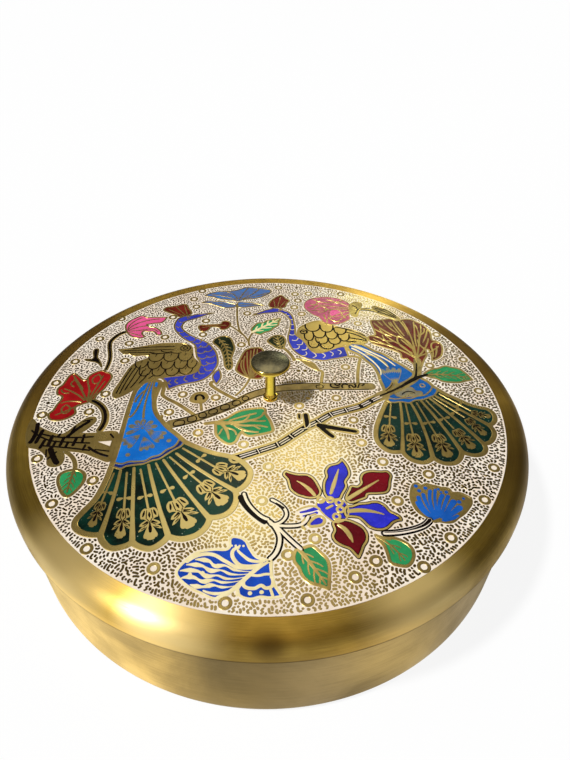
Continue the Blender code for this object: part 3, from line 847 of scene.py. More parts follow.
def leafVeins(spine, count, reach, lean, width=0.45, kind="brass", spineWidth=(0.9, 0.4)):
    # A leaf's middle vein and pairs of side veins that lean towards its tip
    drawLine(spine, spineWidth, kind, 2)
    path = smoothPath(spine)
    ways = np.gradient(path, axis=0)
    for k in range(count):
        share = (k + 0.6) / (count + 0.4)
        i = int(share * (len(path) - 1))
        heading = math.atan2(ways[i][1], ways[i][0])
        length = reach * math.sin(math.pi * (0.12 + 0.78 * share)) ** 0.7
        for side in (-1, 1):
            turn = heading + side * math.radians(lean)
            wider = turn + side * 0.12
            middle = path[i] + length * 0.55 * np.array([math.cos(wider), math.sin(wider)])
            end = path[i] + length * np.array([math.cos(turn), math.sin(turn)])
            drawLine([tuple(path[i]), tuple(middle), tuple(end)], (width, width * 0.7), kind)


def stemWithLeaf(start, end, cross, width=0.6):
    # A fine stem with a pair of small drops across it
    drawLine([start, end], width)
    heading = math.degrees(math.atan2(end[1] - start[1], end[0] - start[0]))
    for side in (-1, 1):
        petal(cross[0], cross[1], heading + 78 * side, 0.1, 2.5, 1.5)


def arcTo(start, end, bulge):
    # Points on the way from one cusp to the next, bulging to the right of the way by a share of its length
    ax, ay = start[:2]
    bx, by = end[:2]
    points = []
    for s in (0.18, 0.5, 0.82):
        away = bulge * 4 * s * (1 - s)
        points.append((ax + (bx - ax) * s + (by - ay) * away, ay + (by - ay) * s - (bx - ax) * away))
    return points


# Left peacock: crest, body, wing, legs
drawCell([(-45.9, 57.5), (-47.3, 59), (-50, 60.2), (-51.8, 61.3), (-53.9, 62.9), (-53, 65.2), (-50, 66.3),
    (-47.7, 67.2), (-45, 68.6), (-43.2, 67.7), (-42.3, 65.2), (-40.7, 62.5), (-40.2, 60), (-42.5, 58.3)],
    "russet", 1.0)
for start, end in (((-44, 58.5), (-51.5, 63.5)), ((-43, 59), (-48, 65.5)), ((-42, 59.5), (-44.5, 67))):
    drawLine([start, end], 0.5)
drawLine([(-24.5, 9), (-24.5, 7), (-18, 1.5), (-12, -2.5)], 1.7, clear=True)
drawLine([(-44, 8), (-43.5, 4), (-43, 0), (-36, -5), (-29, -11)], 1.7, clear=True)
drawCell([(-22.5, 17.5, 1), (-21.4, 14.7), (-21.1, 12), (-21.8, 9.3), (-22.5, 7.7, 1), (-23.6, 9.7),
    (-24.5, 12), (-24.1, 14.7)], "cobalt", 0.8)
drawCell([(-29.1, 61.1, 1), (-32.3, 60.9), (-34.5, 60.1), (-37.3, 59.8), (-40, 58.4), (-42.7, 57.9),
    (-44.5, 56.8), (-45.9, 55.2), (-46.6, 50.2), (-45.9, 47), (-44.5, 44.3), (-40.9, 39.7), (-36.4, 36.1),
    (-34.8, 34.3), (-33.6, 28.8), (-32.7, 25.6), (-31.1, 22.5), (-30.7, 19.7), (-32, 15.4), (-34.5, 14),
    (-38.2, 12.9), (-42.7, 12), (-45.7, 10.9, 1), (-43.2, 8.4), (-42.5, 6.1), (-41.6, 3.8, 1), (-38.6, 5.9),
    (-35.5, 7.5), (-31.4, 8.8), (-28.2, 10.6), (-25.9, 13.4), (-24.5, 16.5), (-23.4, 21.5), (-24.3, 27.5),
    (-25.7, 31.1), (-27.7, 34.3), (-30, 37), (-35.5, 40.6), (-38.2, 42.5), (-40.5, 44.7), (-42.3, 47),
    (-43, 49.3), (-42.7, 51.5), (-41.8, 53.4), (-40, 54.7), (-37.7, 55.9), (-34.5, 58.1), (-31.8, 60)],
    "cobalt", 0.9)
for mark in ((-44, 53.5, 2.6, -30), (-44.4, 49.3, 2.6, 0), (-42.5, 45, 2.8, 25), (-39.5, 42, 3, 40),
        (-36.5, 38.6, 3.4, 45), (-33.6, 37, 3, 45), (-33.6, 33.4, 3.2, 30), (-30.5, 34.3, 3.2, 35),
        (-28.5, 31, 3.4, 25), (-31.3, 29.6, 3.4, 20), (-27, 27, 3.6, 8), (-30.3, 25.6, 3.2, 5),
        (-26.6, 22.5, 3.6, 0), (-29, 20.7, 2.8, -5), (-27, 17.5, 3.4, -20), (-29.6, 15.4, 3, -35),
        (-31.5, 12.3, 3, -55), (-35.2, 10.6, 3, -70), (-38.8, 9.3, 2.8, -75), (-41.4, 8.2, 2.4, -80)):
    crescent(*mark, 0.6)
ring(-41.1, 56.6, 0.85, 0.35, level=1, clear=False)
wing = [(-68, 30.2, 1), (-64, 30.9), (-58.6, 32.5), (-54.1, 34), (-49.5, 35.3), (-44.5, 35.6),
    (-40.9, 35.9), (-38.6, 35.2), (-36.4, 33.4), (-35.2, 28.4), (-34.3, 25.2), (-32.3, 22.5), (-31.3, 19.7),
    (-32, 17), (-33.6, 15.4), (-38.2, 14), (-42.7, 12.9), (-46.4, 11.1), (-50, 9.5), (-52.5, 7.5),
    (-55, 4.7), (-56.8, 2), (-59.1, -0.3), (-61.4, -1.9, 1), (-62.5, -1.2), (-63.2, 1.1), (-63, 3.8),
    (-62.3, 7), (-60.9, 14.3), (-60, 17.9), (-58.2, 21.1), (-55, 23.4),
    (-53.2, 24.7, 1), (-53.6, 26.1), (-56.8, 26.5), (-60, 25.9), (-62.3, 27.2), (-65, 27.2), (-66.6, 28.8)]
drawCell(wing, "brassField", 0.9, 0)
drawLines(([(-65.5, 29.2), (-58, 30), (-52.5, 30.2)], [(-63, 28.2), (-57, 28.4), (-52, 28.2)],
    [(-62, 30.9), (-55, 32.3), (-49, 32.8), (-44, 33.2)], [(-53, 30.2), (-48.5, 30.6), (-44, 30.8)],
    [(-52, 27.6), (-48, 28), (-44.5, 28.4)], [(-59.5, 17), (-61, 9), (-62, 0.8)],
    [(-57.6, 18.5), (-59.4, 10), (-60.6, 0.8)], [(-56, 19), (-57.4, 11), (-59, 3)],
    [(-54.2, 16), (-55.2, 10), (-57, 4.5)], [(-52, 13.5), (-52.8, 10.5), (-54.2, 7.5)],
    [(-49.4, 12.6), (-50, 11.6), (-50.8, 10.6)]), 0.5, "dark", 2)


def wingScale(x, y, halfWidth, halfHeight, width=0.6):
    # One scale of a wing: a dark line down its two sides and round its foot
    shape = ((-1, 0.85), (-0.85, -0.3), (-0.35, -0.9), (0.35, -0.9), (0.85, -0.3), (1, 0.85))
    drawLine([(x + u * halfWidth, y + v * halfHeight) for u, v in shape], width, "dark", 2)


for x, y, wide, high in ((-50.6, 24.6, 3.2, 2.6), (-44.2, 25, 3.1, 2.7), (-38, 25.6, 3.0, 2.8),
        (-56, 19.8, 2.6, 2.6), (-50.4, 19.4, 2.7, 2.7), (-44.8, 19.6, 2.7, 2.7), (-39.2, 20, 2.7, 2.7),
        (-34.4, 20.6, 2.0, 2.7), (-53.4, 14.6, 2.4, 2.6), (-47.8, 14.6, 2.6, 2.4), (-42, 15, 2.7, 2.4),
        (-36.4, 16, 2.7, 2.3)):
    wingScale(x, y, wide, high, 0.5)
    drawLine([(x, y + high), (x - 0.3, y + high * 0.35)], (0.4, 0.2), "dark", 2)
for x, y in ((-42.6, 29.4), (-47, 30), (-51.6, 28.6)):
    drawLine([(x - 2.2, y), (x, y - 1.2), (x + 2.4, y - 0.6)], 0.5, "dark", 2)
ring(-38.8, 32.2, 2.4, 1.9, "dark", 2, False)
ring(-38.8, 32.2, 1.2, 0.7, "dark", 2, False)

# Left peacock: train with its gold flower, then the fan of tail feathers
leftFoot = [(-30.7, -25), (-31.5, -27.4), (-33.9, -29.5), (-36, -31.6), (-38.1, -33.7), (-40.7, -34.7),
    (-43.4, -36.3), (-46, -36.8), (-49.2, -37.6), (-50.7, -38.7), (-52.8, -38.2), (-54.3, -37.6)]
leftTrain = [(-54.3, -37.6, 1), (-54.3, -26.8), (-54.7, -16.3), (-54.9, -5.8), (-54.7, 2.1), (-53.4, 5.8),
    (-52.3, 7.9), (-49.7, 9.2), (-47.1, 9.2), (-45.7, 8.4), (-45.5, 5.3), (-45.8, 2.1), (-46, -2.1),
    (-45.2, -6.8), (-43.4, -11.1), (-40.7, -14.7), (-37.6, -18.4), (-34.4, -21.3), (-30.7, -25, 1)]
drawCell(leftTrain + leftFoot[1:-1], "azure", 1.9, edge=len(leftTrain))
drawLine(leftFoot, 0.8, level=2)
innerFoot = [(-54, -35.6), (-51, -36.5), (-48.5, -35.4),
    (-46, -35.3), (-43, -34.8), (-41, -33), (-38.5, -32), (-36.5, -29.5), (-34, -27.6), (-32.8, -24.6)]
band([(-53.6, -36.7), (-51, -37.6), (-48.4, -36.5), (-45.8, -36.2), (-42.6, -35.7), (-40.6, -34),
    (-38, -32.9), (-35.8, -30.3), (-33.4, -28.4), (-32, -25.4)], 1.1, "navy", 1, False)
drawLine(innerFoot, 0.75, level=2)
drawLines(([(-50, 8.4), (-50.8, 1), (-51.4, -6), (-52.4, -11), (-53.8, -12.8), (-54.2, -10.6)],
    [(-49, 8.4), (-49.2, 0), (-49, -7), (-48.2, -13)],
    [(-48, 8.4), (-47.4, 1), (-46, -5), (-44, -10), (-41.6, -13.2), (-41.4, -11.6)],
    [(-50.8, 3), (-52.8, -1), (-53.2, -4)], [(-47, 5), (-46.6, 0)]), (0.9, 0.75, 1.0))
for angle, length in ((211, 5.6), (168, 4.8), (130, 4.4), (97, 4.2), (52, 4.4), (14, 4.8), (335, 4.2)):
    petal(-47.4, -18.6, angle, 0.8, length, 2.1, "trainField", 1)
    petal(-47.4, -18.6, angle, 1.2, 2.4, 0.5, "azure", 2)
dot(-47.4, -18.6, 0.6, "trainField")
shellLeaf(-45.2, -20.6, -24, 7.4, 30, "trainField", "azure")
shellLeaf(-46, -23, -68, 7.4, 27, "trainField", "azure")
shellLeaf(-47.4, -22, -132, 7.6, 28, "trainField", "azure")
dot(-49.8, -32.2, 0.9, "trainField")
dot(-36.4, -24.8, 0.9, "trainField")
leftFan = [(-54.3, -38.4, 1), (-54.7, -45.3), (-56, -52.1),
    (-58.6, -57.4), (-59.9, -60.6), (-59.3, -63.2), (-56.6, -65.2), (-53.4, -65.9), (-50.7, -65.6, 1)]
leftFan += arcTo((-50.7, -65.8), (-40.2, -68.2), 0.33) + [(-40.2, -68.2, 1)] + arcTo((-40.2, -68.2),
    (-29.7, -65.8), 0.32) + [(-29.7, -65.8, 1)]
leftFan += [(-27.2, -66.6), (-24.4, -66.6), (-20.7, -65), (-18.2, -61.9), (-17.6, -58.4, 1), (-15.2, -58.3),
    (-12.4, -57.1), (-10.4, -54.6), (-9.6, -51.2), (-10.2, -47.6, 1), (-7.6, -45.6), (-5.9, -42.4),
    (-5.7, -38.9), (-7.6, -35.8), (-10.7, -33.2),
    (-14.9, -31.6), (-18.6, -30.8), (-22.8, -29.2), (-27.1, -27.1), (-30.2, -25.4, 1)]
outerEdge = len(leftFan)
leftFan += leftFoot[1:-1]
drawCell(leftFan, "peacock", 2.1, edge=outerEdge)
drawLines(([(-50.6, -39.6), (-50.2, -52), (-50.6, -65.4)], [(-46.2, -38.4), (-43.4, -53), (-40.4, -67.4)],
    [(-41.5, -36.8), (-35.6, -52), (-29.8, -65.2)], [(-36.6, -34.4), (-27.4, -46.8), (-17.8, -58.6)],
    [(-32.5, -31.2), (-21.6, -39.8), (-10.3, -47.4)]), (1.1, 1.3, 1.3, 1.9))
for stem in (((-52.6, -41), (-53.6, -53.4), (-53, -49)), ((-48.2, -40.5), (-45.6, -56), (-46.6, -51.3)),
        ((-43.8, -39), (-37.8, -55.6), (-40, -50.3)), ((-39, -36), (-30, -51.8), (-33.2, -47.2)),
        ((-34.6, -33), (-22, -44.6), (-27, -40.6)), ((-30.6, -28.6), (-18.4, -37), (-23.8, -32.9))):
    stemWithLeaf(*stem, 0.8)
for place in ((-53.9, -58, 10, 2.4, (-0.1, -1)), (-45, -61.2, 11.5, 2.9, (0.1, -1)),
        (-36.2, -61.2, 12.4, 3.7, (0.25, -1)), (-26.6, -57, 13, 4.6, (0.55, -0.83)),
        (-17.6, -48.6, 12.6, 4.3, (0.74, -0.67)), (-12.9, -39.2, 12, 4, (0.93, -0.37))):
    palmette(*place)

# Right peacock
drawCell([(-2, 67.3), (-2.9, 70.8), (-1.4, 74.4), (1.5, 77.9), (3, 78.8), (5.1, 76.1), (7.1, 73.8),
    (5.9, 71.4), (4.5, 67.3)], "russet", 0.9)
for start, end in (((0.2, 67.8), (-0.6, 73.5)), ((1.4, 67.8), (2.6, 76.5)), ((2.6, 67.8), (5, 73))):
    drawLine([start, end], 0.5)
drawCell([(10.6, 26.1), (15.2, 24.8), (17.7, 23.2), (19.3, 20.3), (20.2, 17.8, 1), (17.7, 19.4),
    (14.8, 21.9), (12.7, 24.4)], "brassField", 0.8)
drawLine([(20, 18), (21.5, 17), (21, 12), (20.5, 5)], 1.5, clear=True)
drawLine([(33.9, 28.2), (38.1, 27.3), (37.7, 24), (36.4, 15.7), (36, 8)], 1.5, clear=True)
drawCell([(-10.5, 59.8, 1), (-9, 61.1), (-5.7, 63.6), (-4.4, 64.6), (-1.9, 65.7), (0.2, 67.1), (2.3, 66.3),
    (4.3, 65), (6.4, 63.6), (8.1, 61.1), (9, 58), (9.3, 55.3), (9.8, 52.3), (10, 49), (10, 45.7),
    (10.6, 43.6), (12.7, 41.1), (14.3, 38.6), (15.6, 35.7), (16.8, 32.8), (18.1, 31.1), (20.6, 30.5),
    (22.7, 31.1), (25.6, 32.8), (28.9, 34.8), (32.3, 35.7, 1), (32.7, 33.2), (33.5, 28.6, 1), (30.2, 27.3),
    (26, 26.1), (22.7, 25), (19.3, 25.5), (16, 26.1), (13.1, 27.8), (10.6, 30.3), (8.7, 33.2), (7.5, 36.5),
    (6.8, 39.8), (6.8, 43.2), (7.3, 46.5), (7.7, 49.8), (7.9, 53.2), (7.7, 56.1), (6.8, 58.2), (5.4, 60.7),
    (3.9, 62.3), (2.3, 63), (-0.3, 62.5), (-3.2, 61.9), (-5.7, 61.5), (-7.8, 60.5)], "cobalt", 0.9)
for mark in ((6.4, 60.8, 2.2, -50), (8.2, 57.2, 1.9, -15), (8.7, 53, 2, 0), (8.8, 48.8, 2.4, 5),
        (8.8, 44.6, 2.6, 15), (10, 40.6, 3, 30), (12.2, 37.4, 3.2, 40), (10.6, 34.2, 3.2, 40),
        (14.2, 33.6, 3, 45), (14, 29.6, 3.2, 60), (18.2, 28.6, 3.2, 80), (22.2, 28.6, 3, 95),
        (25.8, 30, 3, 100), (29.4, 31.4, 3, 100)):
    crescent(*mark, 0.42, "pale")
ring(2.6, 64.6, 0.85, 0.35, level=1, clear=False)
drawCell([(12.3, 50.3), (14.3, 52.3), (17.7, 54.8), (21.4, 56.1), (23.5, 54.8), (26, 53.2), (28.9, 51.9),
    (31.8, 50.5), (35.2, 49.6), (38.5, 48), (41.4, 45.7), (42.7, 43.2), (42.9, 39.8), (41.8, 38.4),
    (38.5, 38.4), (35.6, 38.2), (31.4, 36.5), (28.1, 34.8), (25.6, 33.2), (22.7, 31.5), (20.6, 30.9),
    (18.5, 31.5), (17, 33.6), (15.6, 37.3), (13.5, 41.1), (11.4, 43.6), (11.2, 46.9)], "brassField", 0.9)
for place in ((18.2, 50, 3.4, 3), (24.8, 49.6, 3, 3), (21.2, 44.8, 2.9, 2.8), (26.8, 44, 2.7, 2.8),
        (16.4, 42.2, 2.1, 2.6), (22.2, 39.8, 2.8, 2.5), (28, 39.6, 2.8, 2.4), (18.4, 36.8, 2.4, 2.6),
        (24.4, 35.6, 3, 2.1), (32.4, 42.6, 2.5, 2.8), (31, 47.6, 2.8, 2.6)):
    wingScale(*place, 0.7)
drawLines(([(29, 51), (35.4, 48.8), (42, 44.4)], [(34, 46.8), (38.4, 44.8), (42.4, 41.4)],
    [(35, 42.4), (39, 41.6), (42.4, 40.4)], [(33.6, 39.4), (37.6, 39.6)]), 0.7, "dark", 2)
ring(14, 46.6, 1.9, 1.1, "dark", 2, False)
dot(14, 46.6, 0.6, "dark", 2)
rightFoot = [(68.5, 7.5), (66.5, 3.5),
    (64, 2), (61, 0.5), (58, 0), (55.5, -1.5), (52, -1), (49, -1.5), (46.8, -0.5)]
rightTrain = [(46.8, -0.5, 1), (46.3, 7), (45.5, 12), (45, 17), (43.5, 22), (41, 25.5), (38.5, 29.5),
    (36, 31.5), (34, 33), (33.5, 36), (35.5, 38), (38, 38), (41, 37),
    (45, 33), (49, 30.5), (53, 26), (56, 23), (59, 19.5), (63, 14), (65.3, 12), (67, 9), (68.5, 7.5, 1)]
drawCell(rightTrain + rightFoot[1:-1], "azureRight", 1.5, edge=len(rightTrain))
drawLine(rightFoot, 0.8, level=2)
drawLine([(47.4, 1.4), (50.5, 0.6), (53.5, 1.2), (56.5, 1.2), (59.5, 2.6), (62.5, 3.4), (64.8, 5.6),
    (66.4, 8.4)], 0.7, level=2)
drawCell([(50.5, 4.4), (53, 6.2), (55.5, 8.2), (58, 7.8), (59.2, 5.8), (61.4, 5.4), (61.4, 3.6),
    (58.6, 2.6), (55.8, 2.2), (53.4, 1.8), (51, 2.6)], "trainField", 0.5, 1, False)
drawLine([(53.4, 3.6), (56, 5.4), (58.6, 4.4)], 0.6, "dark", 3)
ring(62.6, 9.4, 1.3, 0.7, level=1, clear=False)
drawLines(([(35.4, 36.4), (41, 32.4), (46, 27.4), (49.8, 21.6)],
    [(37, 36.4), (44, 31.6), (50, 26.4), (53, 22.4)], [(35.6, 34.4), (41.4, 28.6), (45.8, 21), (46.2, 16)]),
    (1.0, 0.8, 0.6), "pale")
drawLine([(41, 30.6), (45.4, 28.4), (48.6, 24.4), (50, 21)], (0.5, 1.6, 1.4, 0.8))
shellLeaf(52, 9.6, 97, 11.4, 28, "trainField", "azureRight", 4)
drawLine([(52, 9), (51.8, 12.6)], (2.2, 1.0))
rightFan = [(46.5, -1, 1), (44.5, -5.5), (42.5, -10.5), (40.8, -15.5), (40, -20.5), (40.5, -24),
    (42.5, -27), (45, -28.4), (48.8, -28, 1), (50, -30.6), (52, -32.4), (55, -33.3), (57.5, -32.5),
    (59.3, -30.5, 1), (61.4, -32.8), (64, -33.6), (67, -33), (69.4, -30.4), (70.3, -27.5, 1), (72.4, -28.8),
    (75, -29.3), (78, -28.3), (79.5, -26), (79.3, -23.5, 1), (82, -22.5), (84, -20), (85, -17),
    (84, -13.5, 1), (86, -12.2), (87.3, -10),
    (87.5, -7), (86, -4.5), (83, -3.5), (79.5, -2), (75.5, 1), (71.5, 4), (69, 6.6, 1)]
outerEdge = len(rightFan)
rightFan += rightFoot[1:-1]
drawCell(rightFan, "peacockRight", 1.9, edge=outerEdge)
drawLines(([(51.8, -1.8), (51, -12), (48.9, -27.6)], [(56, -1.6), (58.4, -14), (59.3, -30.2)],
    [(60.4, -0.4), (65.2, -12), (70.3, -27.2)], [(64.2, 1.2), (71.4, -9.4), (79.3, -23.2)],
    [(67, 2.8), (75.6, -5.6), (83.8, -13.2)]), (1.0, 1.2, 1.2, 1.8))
for stem in (((48, -2), (45.6, -15.4), (46.8, -9.6)), ((53.8, -2), (54, -19), (54.2, -13)),
        ((58.4, -1.5), (62.6, -19), (61.2, -12.4)), ((62.5, 0), (70, -15.5), (67.4, -10)),
        ((65.5, 2), (75.6, -9.2), (72.4, -6)), ((68.6, 4.4), (79, -5.4), (75, -1.7))):
    stemWithLeaf(*stem, 0.7)
for place in ((44.8, -20, 11.5, 3.4, (-0.08, -1)), (53.9, -24.8, 12.2, 3.5, (0.02, -1)),
        (64, -24.6, 12, 3.5, (0.2, -1)), (72.8, -21, 11, 3.1, (0.42, -0.9)),
        (78.8, -14.4, 10.4, 2.5, (0.5, -0.86)), (82.4, -7.6, 7.5, 2.2, (0.95, -0.3))):
    palmette(*place)
print("peacocks drawn")

# Flowers and leaves down the left side
drawCell([(-68.8, 47), (-69.2, 49.7), (-68.1, 52.9), (-65.8, 55.6), (-63.1, 57.5), (-60.8, 56.3),
    (-57.6, 56.3), (-51.3, 56.8, 1), (-52, 53.8), (-53.1, 52), (-56.3, 51.3), (-59.5, 50.2, 1),
    (-58.5, 48.8), (-55.4, 47.9), (-52.6, 45.6), (-51.3, 42.5, 1), (-53.1, 42), (-54.9, 44.3),
    (-57.6, 44.7), (-60.4, 44.3), (-58.5, 40.6, 1), (-60.4, 39.3), (-63.1, 39.7), (-65.8, 41.5),
    (-67.4, 43.8)], "pink", 0.9)
drawLines(([(-67.4, 45.6), (-64.6, 50.4), (-59.6, 53.6), (-54.6, 55)],
    [(-67, 45), (-63.6, 47.6), (-59.6, 49)], [(-66.6, 44.4), (-62, 45.2), (-57, 46.4), (-53.4, 44.6)],
    [(-67.6, 46.6), (-66.6, 51.6), (-63, 55.6)], [(-66.4, 43.4), (-63, 42), (-60.6, 41)]), 0.6)
pinkStem = [(-68.5, 43.5), (-71, 41), (-73, 36), (-72.5, 32), (-71, 27), (-70, 22), (-70, 16)]
drawStem(pinkStem, ((2.4, 1.8), "brass", 1), ((1.3, 0.8), "dark", 3))
drawCell([(-78.5, 30.2), (-77, 30.2), (-75.8, 24.3), (-74.5, 22.5), (-72.2, 17.5), (-74, 19.7), (-76.3, 21),
    (-79.9, 21.8), (-80.8, 22.7), (-77.6, 23.4), (-78.5, 27.5)], "dark", 0.6)
drawCell([(-69.5, 14.3), (-71.3, 15.2), (-74, 13.8), (-75.8, 11.5), (-76.7, 8.8), (-80.4, 11.5),
    (-82.6, 12.9), (-84, 11.1), (-84.5, 8.4), (-84.9, 5.6), (-86, 3.4), (-85.8, 1.1), (-84.9, -0.7),
    (-83.1, -1.4), (-82.6, -3.5), (-83.3, -6.2), (-83.8, -9.8), (-84.8, -11.9), (-83.6, -14.6),
    (-81.3, -15.4), (-78.6, -15), (-76.3, -13.5), (-74.8, -11.2), (-75.8, -8), (-74, -6.2), (-71.7, -4.8),
    (-69.9, -3), (-69.5, -0.3), (-67.6, 3.4), (-66.7, 7.5), (-66.3, 11.1), (-67.6, 13.4)], "crimson", 0.9)
drawLines(([(-72, -4), (-71, 4), (-70, 11.6)], [(-72.4, -3.6), (-73.4, 3), (-75.4, 7.4)],
    [(-73, -3), (-77, 3.4), (-81.4, 9.4)], [(-73.4, -3.6), (-78.6, 0.6), (-83.4, 3)],
    [(-74.4, -4.6), (-79, -4.4), (-82, -5.6)], [(-74.8, -6.4), (-78, -9.4), (-82, -12.4)],
    [(-71.2, -3.2), (-69.6, 3), (-68.4, 8)]), (0.9, 0.6))
drawLines(([(-72, 12.6), (-73.8, 9.8), (-72.8, 7), (-71, 7), (-70.4, 9.8), (-72, 12.6)],
    [(-80.6, 8.6), (-81.8, 6.4), (-80, 4.6)],
    [(-79.6, -6.6), (-80.8, -9), (-79, -11.4), (-77.4, -9.4), (-79.6, -6.6)],
    [(-84.4, 2.2), (-83, 0.6), (-81, 0.6)], [(-75.6, 9), (-74.4, 5.4), (-72.4, 1)],
    [(-82.4, 11.6), (-79.6, 8), (-76, 3)]), 0.7)
drawStem([(-70, -4), (-65, -8), (-62.5, -14), (-63, -20)], (3.0, "brass", 0), (1.2, "dark", 4))
drawCell([(-90, -15.5), (-86, -19), (-80, -22), (-76, -22.5), (-72, -17), (-69, -13.5), (-66.5, -13.5),
    (-66, -16), (-70, -22, 1), (-65, -21.8), (-57, -20.8), (-55.4, -24), (-55.4, -35), (-60, -34),
    (-66, -31.5), (-74, -31, 1), (-72, -37), (-76, -38), (-78, -34), (-82, -30.5), (-87, -28.5)],
    "brassField", 0.7)
drawCell([(-63, -26, 1), (-57, -25.2, 1), (-57, -28.5, 1)], "white", 0.5, 1, False)
for points, width in (([(-84, -21), (-84.4, -27)], 1.4), ([(-79.5, -23.8), (-79.5, -28.4)], 1.4),
        ([(-75, -24.4), (-75.2, -28.2)], 1.2), ([(-70.4, -24.4), (-70.6, -28)], 1.2),
        ([(-78, -30.2), (-76, -33.6), (-73.8, -36.6)], 2.0),
        ([(-74, -24), (-71.4, -19.6), (-68.3, -15.8)], 1.3),
        ([(-64.6, -29), (-61, -31.4), (-57, -33)], 1.0), ([(-82, -28.6), (-72, -29.4), (-64, -30.4)], 0.7),
        ([(-58.4, -22.2), (-57, -23.8)], 0.7),
        ([(-84, -22.6), (-77, -24.2), (-71, -24.2), (-64.6, -23.6)], 0.75),
        ([(-87, -17.6), (-86, -23), (-86.4, -27)], 1.6),
        ([(-88, -21), (-80, -25.8), (-72, -26.6), (-65, -26.8)], 0.7), ([(-81.6, -26), (-82, -29.6)], 1.2),
        ([(-77.4, -26.4), (-77.6, -29)], 1.0), ([(-72.8, -26.8), (-73, -29)], 1.0),
        ([(-77, -22.6), (-77.4, -24)], 1.0), ([(-72.6, -18.6), (-73.4, -23.6)], 0.9),
        ([(-68, -22.8), (-67.8, -26.4)], 1.0), ([(-66.2, -28), (-66.4, -30.2)], 0.9),
        ([(-62, -30), (-57, -30.6)], 0.6), ([(-75.6, -31.6), (-77.6, -35)], 0.7),
        ([(-79.4, -30.6), (-78.4, -34)], 0.6), ([(-70.4, -15.6), (-67.4, -14.6)], 0.6)):
    drawLine(points, width, "dark", 3)
drawCell([(-69.4, -40.4), (-70.9, -41.9), (-70.7, -44.6), (-69.4, -47.3), (-67.5, -50), (-65.5, -51.2),
    (-63.6, -49.2), (-62.1, -45.4), (-62.1, -42.7), (-63.2, -40.8), (-65.5, -39.6), (-67.5, -39.8)],
    "leaf", 1.2)
leafVeins([(-66.5, -39.2), (-66.6, -44), (-66.1, -49.4)], 4, 3.2, 36, 0.5, spineWidth=(1.1, 0.5))
drawLine([(-72, -31.6), (-68.5, -34.6), (-66.6, -39)], 1.6, clear=True)

# Flowers and leaves along the back
drawCell([(-35.5, 77.3, 1), (-33.2, 79.4), (-30.2, 80.8), (-26.7, 81.4), (-22.6, 82), (-18.5, 83.8),
    (-15.5, 85.8), (-12.6, 86.1), (-9.1, 85.5), (-5.5, 84.9), (-2.9, 83.8), (-2.3, 82), (-4.4, 79.1),
    (-7.3, 76.7), (-11.4, 74.9), (-15.5, 74.1), (-18.5, 72.6), (-21.4, 73.2), (-24.9, 73.8), (-28.5, 74.4),
    (-30.8, 75.8), (-33.8, 76.4)], "steel", 0.9)
drawLines(([(-20, 73.8), (-25, 76.6), (-31.6, 78)], [(-19, 74), (-21, 78.4), (-24.4, 80.8)],
    [(-18, 74.2), (-16.4, 79.6), (-14.4, 85)], [(-17, 74.6), (-11.6, 79.6), (-8.6, 84.6)],
    [(-16, 74.8), (-9.6, 77.6), (-4, 81)]), 0.6)
drawCell([(-36.1, 70.2, 1), (-33.2, 72), (-28.5, 71.7), (-24.4, 71.4), (-21.4, 70.2), (-19, 69),
    (-20.2, 66.7), (-24.4, 66.1), (-28.5, 67.9), (-32, 69.6)], "steel", 0.8)
drawCell([(-17.9, 71.4), (-13.8, 71.4), (-9.1, 70.5), (-5.2, 69, 1), (-8.5, 68.2), (-12.6, 67.3),
    (-16.7, 66.7), (-18.5, 68.5)], "steel", 0.8)
drawLine([(-20, 68.4), (-26, 69.6), (-32.6, 70.6)], 0.45)
drawLine([(-17.6, 69), (-12, 69.4), (-7.6, 69.2)], 0.45)
drawLine([(-18.5, 67), (-18, 60), (-17, 52), (-15.5, 46), (-13, 42), (-11, 38)], 1.0, clear=True)
drawCell([(-34.9, 50.2), (-31.4, 50.8), (-27.3, 51.4), (-24.9, 52), (-24.4, 53.8), (-22.6, 54.4),
    (-20.8, 53.2), (-20.5, 50.8), (-22, 47.9), (-24.4, 47.3), (-25.5, 49.1), (-29.1, 49.1), (-30.8, 46.1),
    (-33.2, 45.5), (-34.9, 47.9)], "russet", 0.8)
drawLine([(-33.4, 48.4), (-27, 50.2), (-22.4, 50.6)], 0.5)
drawLine([(-20, 50), (-17, 47), (-13, 42)], 1.0, clear=True)
drawCell([(14.5, 70.2), (15.4, 73.2), (17.4, 75.5), (20.4, 77), (24.5, 77.9), (28.6, 77.6), (32.1, 76.4),
    (35.1, 74.4), (37.1, 71.4), (37.7, 67.9), (36.8, 64.4), (36.2, 61.4), (36.5, 58.5), (34.5, 56.1),
    (31.5, 54.1), (28, 53.2), (24.5, 53.8), (22.7, 56.7), (21.5, 59.1), (18.6, 61.4), (16.2, 64.4),
    (14.8, 67.3)], "magenta", 0.5)
drawCell([(27.4, 60.2), (30, 59.6), (32.4, 61), (32.2, 64.4), (30.2, 66.4), (27.6, 65.6), (26.6, 63)],
    "pink", 0.5, 0, False)
drawLines(([(33.4, 74.6), (28, 72.4), (23, 73), (19, 75.6)],
    [(20, 66.6), (22.6, 68.6), (25.4, 67.4), (24.6, 64.4), (21.6, 64)],
    [(28, 75.4), (30.6, 72.6), (34, 72)], [(16.4, 67.6), (19, 69), (21, 72), (20.4, 74.8)],
    [(26, 60), (27.6, 57), (30.4, 55.4)], [(24, 61.4), (24.6, 57.6)], [(33, 61.4), (34.4, 58.6)]), 0.7)
drawLines(([(37, 68), (31, 68.6), (24, 70), (17.6, 70.6)], [(37, 69.4), (32, 72.4), (26, 75.4)],
    [(36.6, 66.6), (30, 66.8), (23, 65.6), (18, 65)], [(36.4, 65), (31, 62), (26, 58), (25.4, 55)],
    [(36, 62.4), (33.4, 59.4), (30.6, 56)]), 0.6)
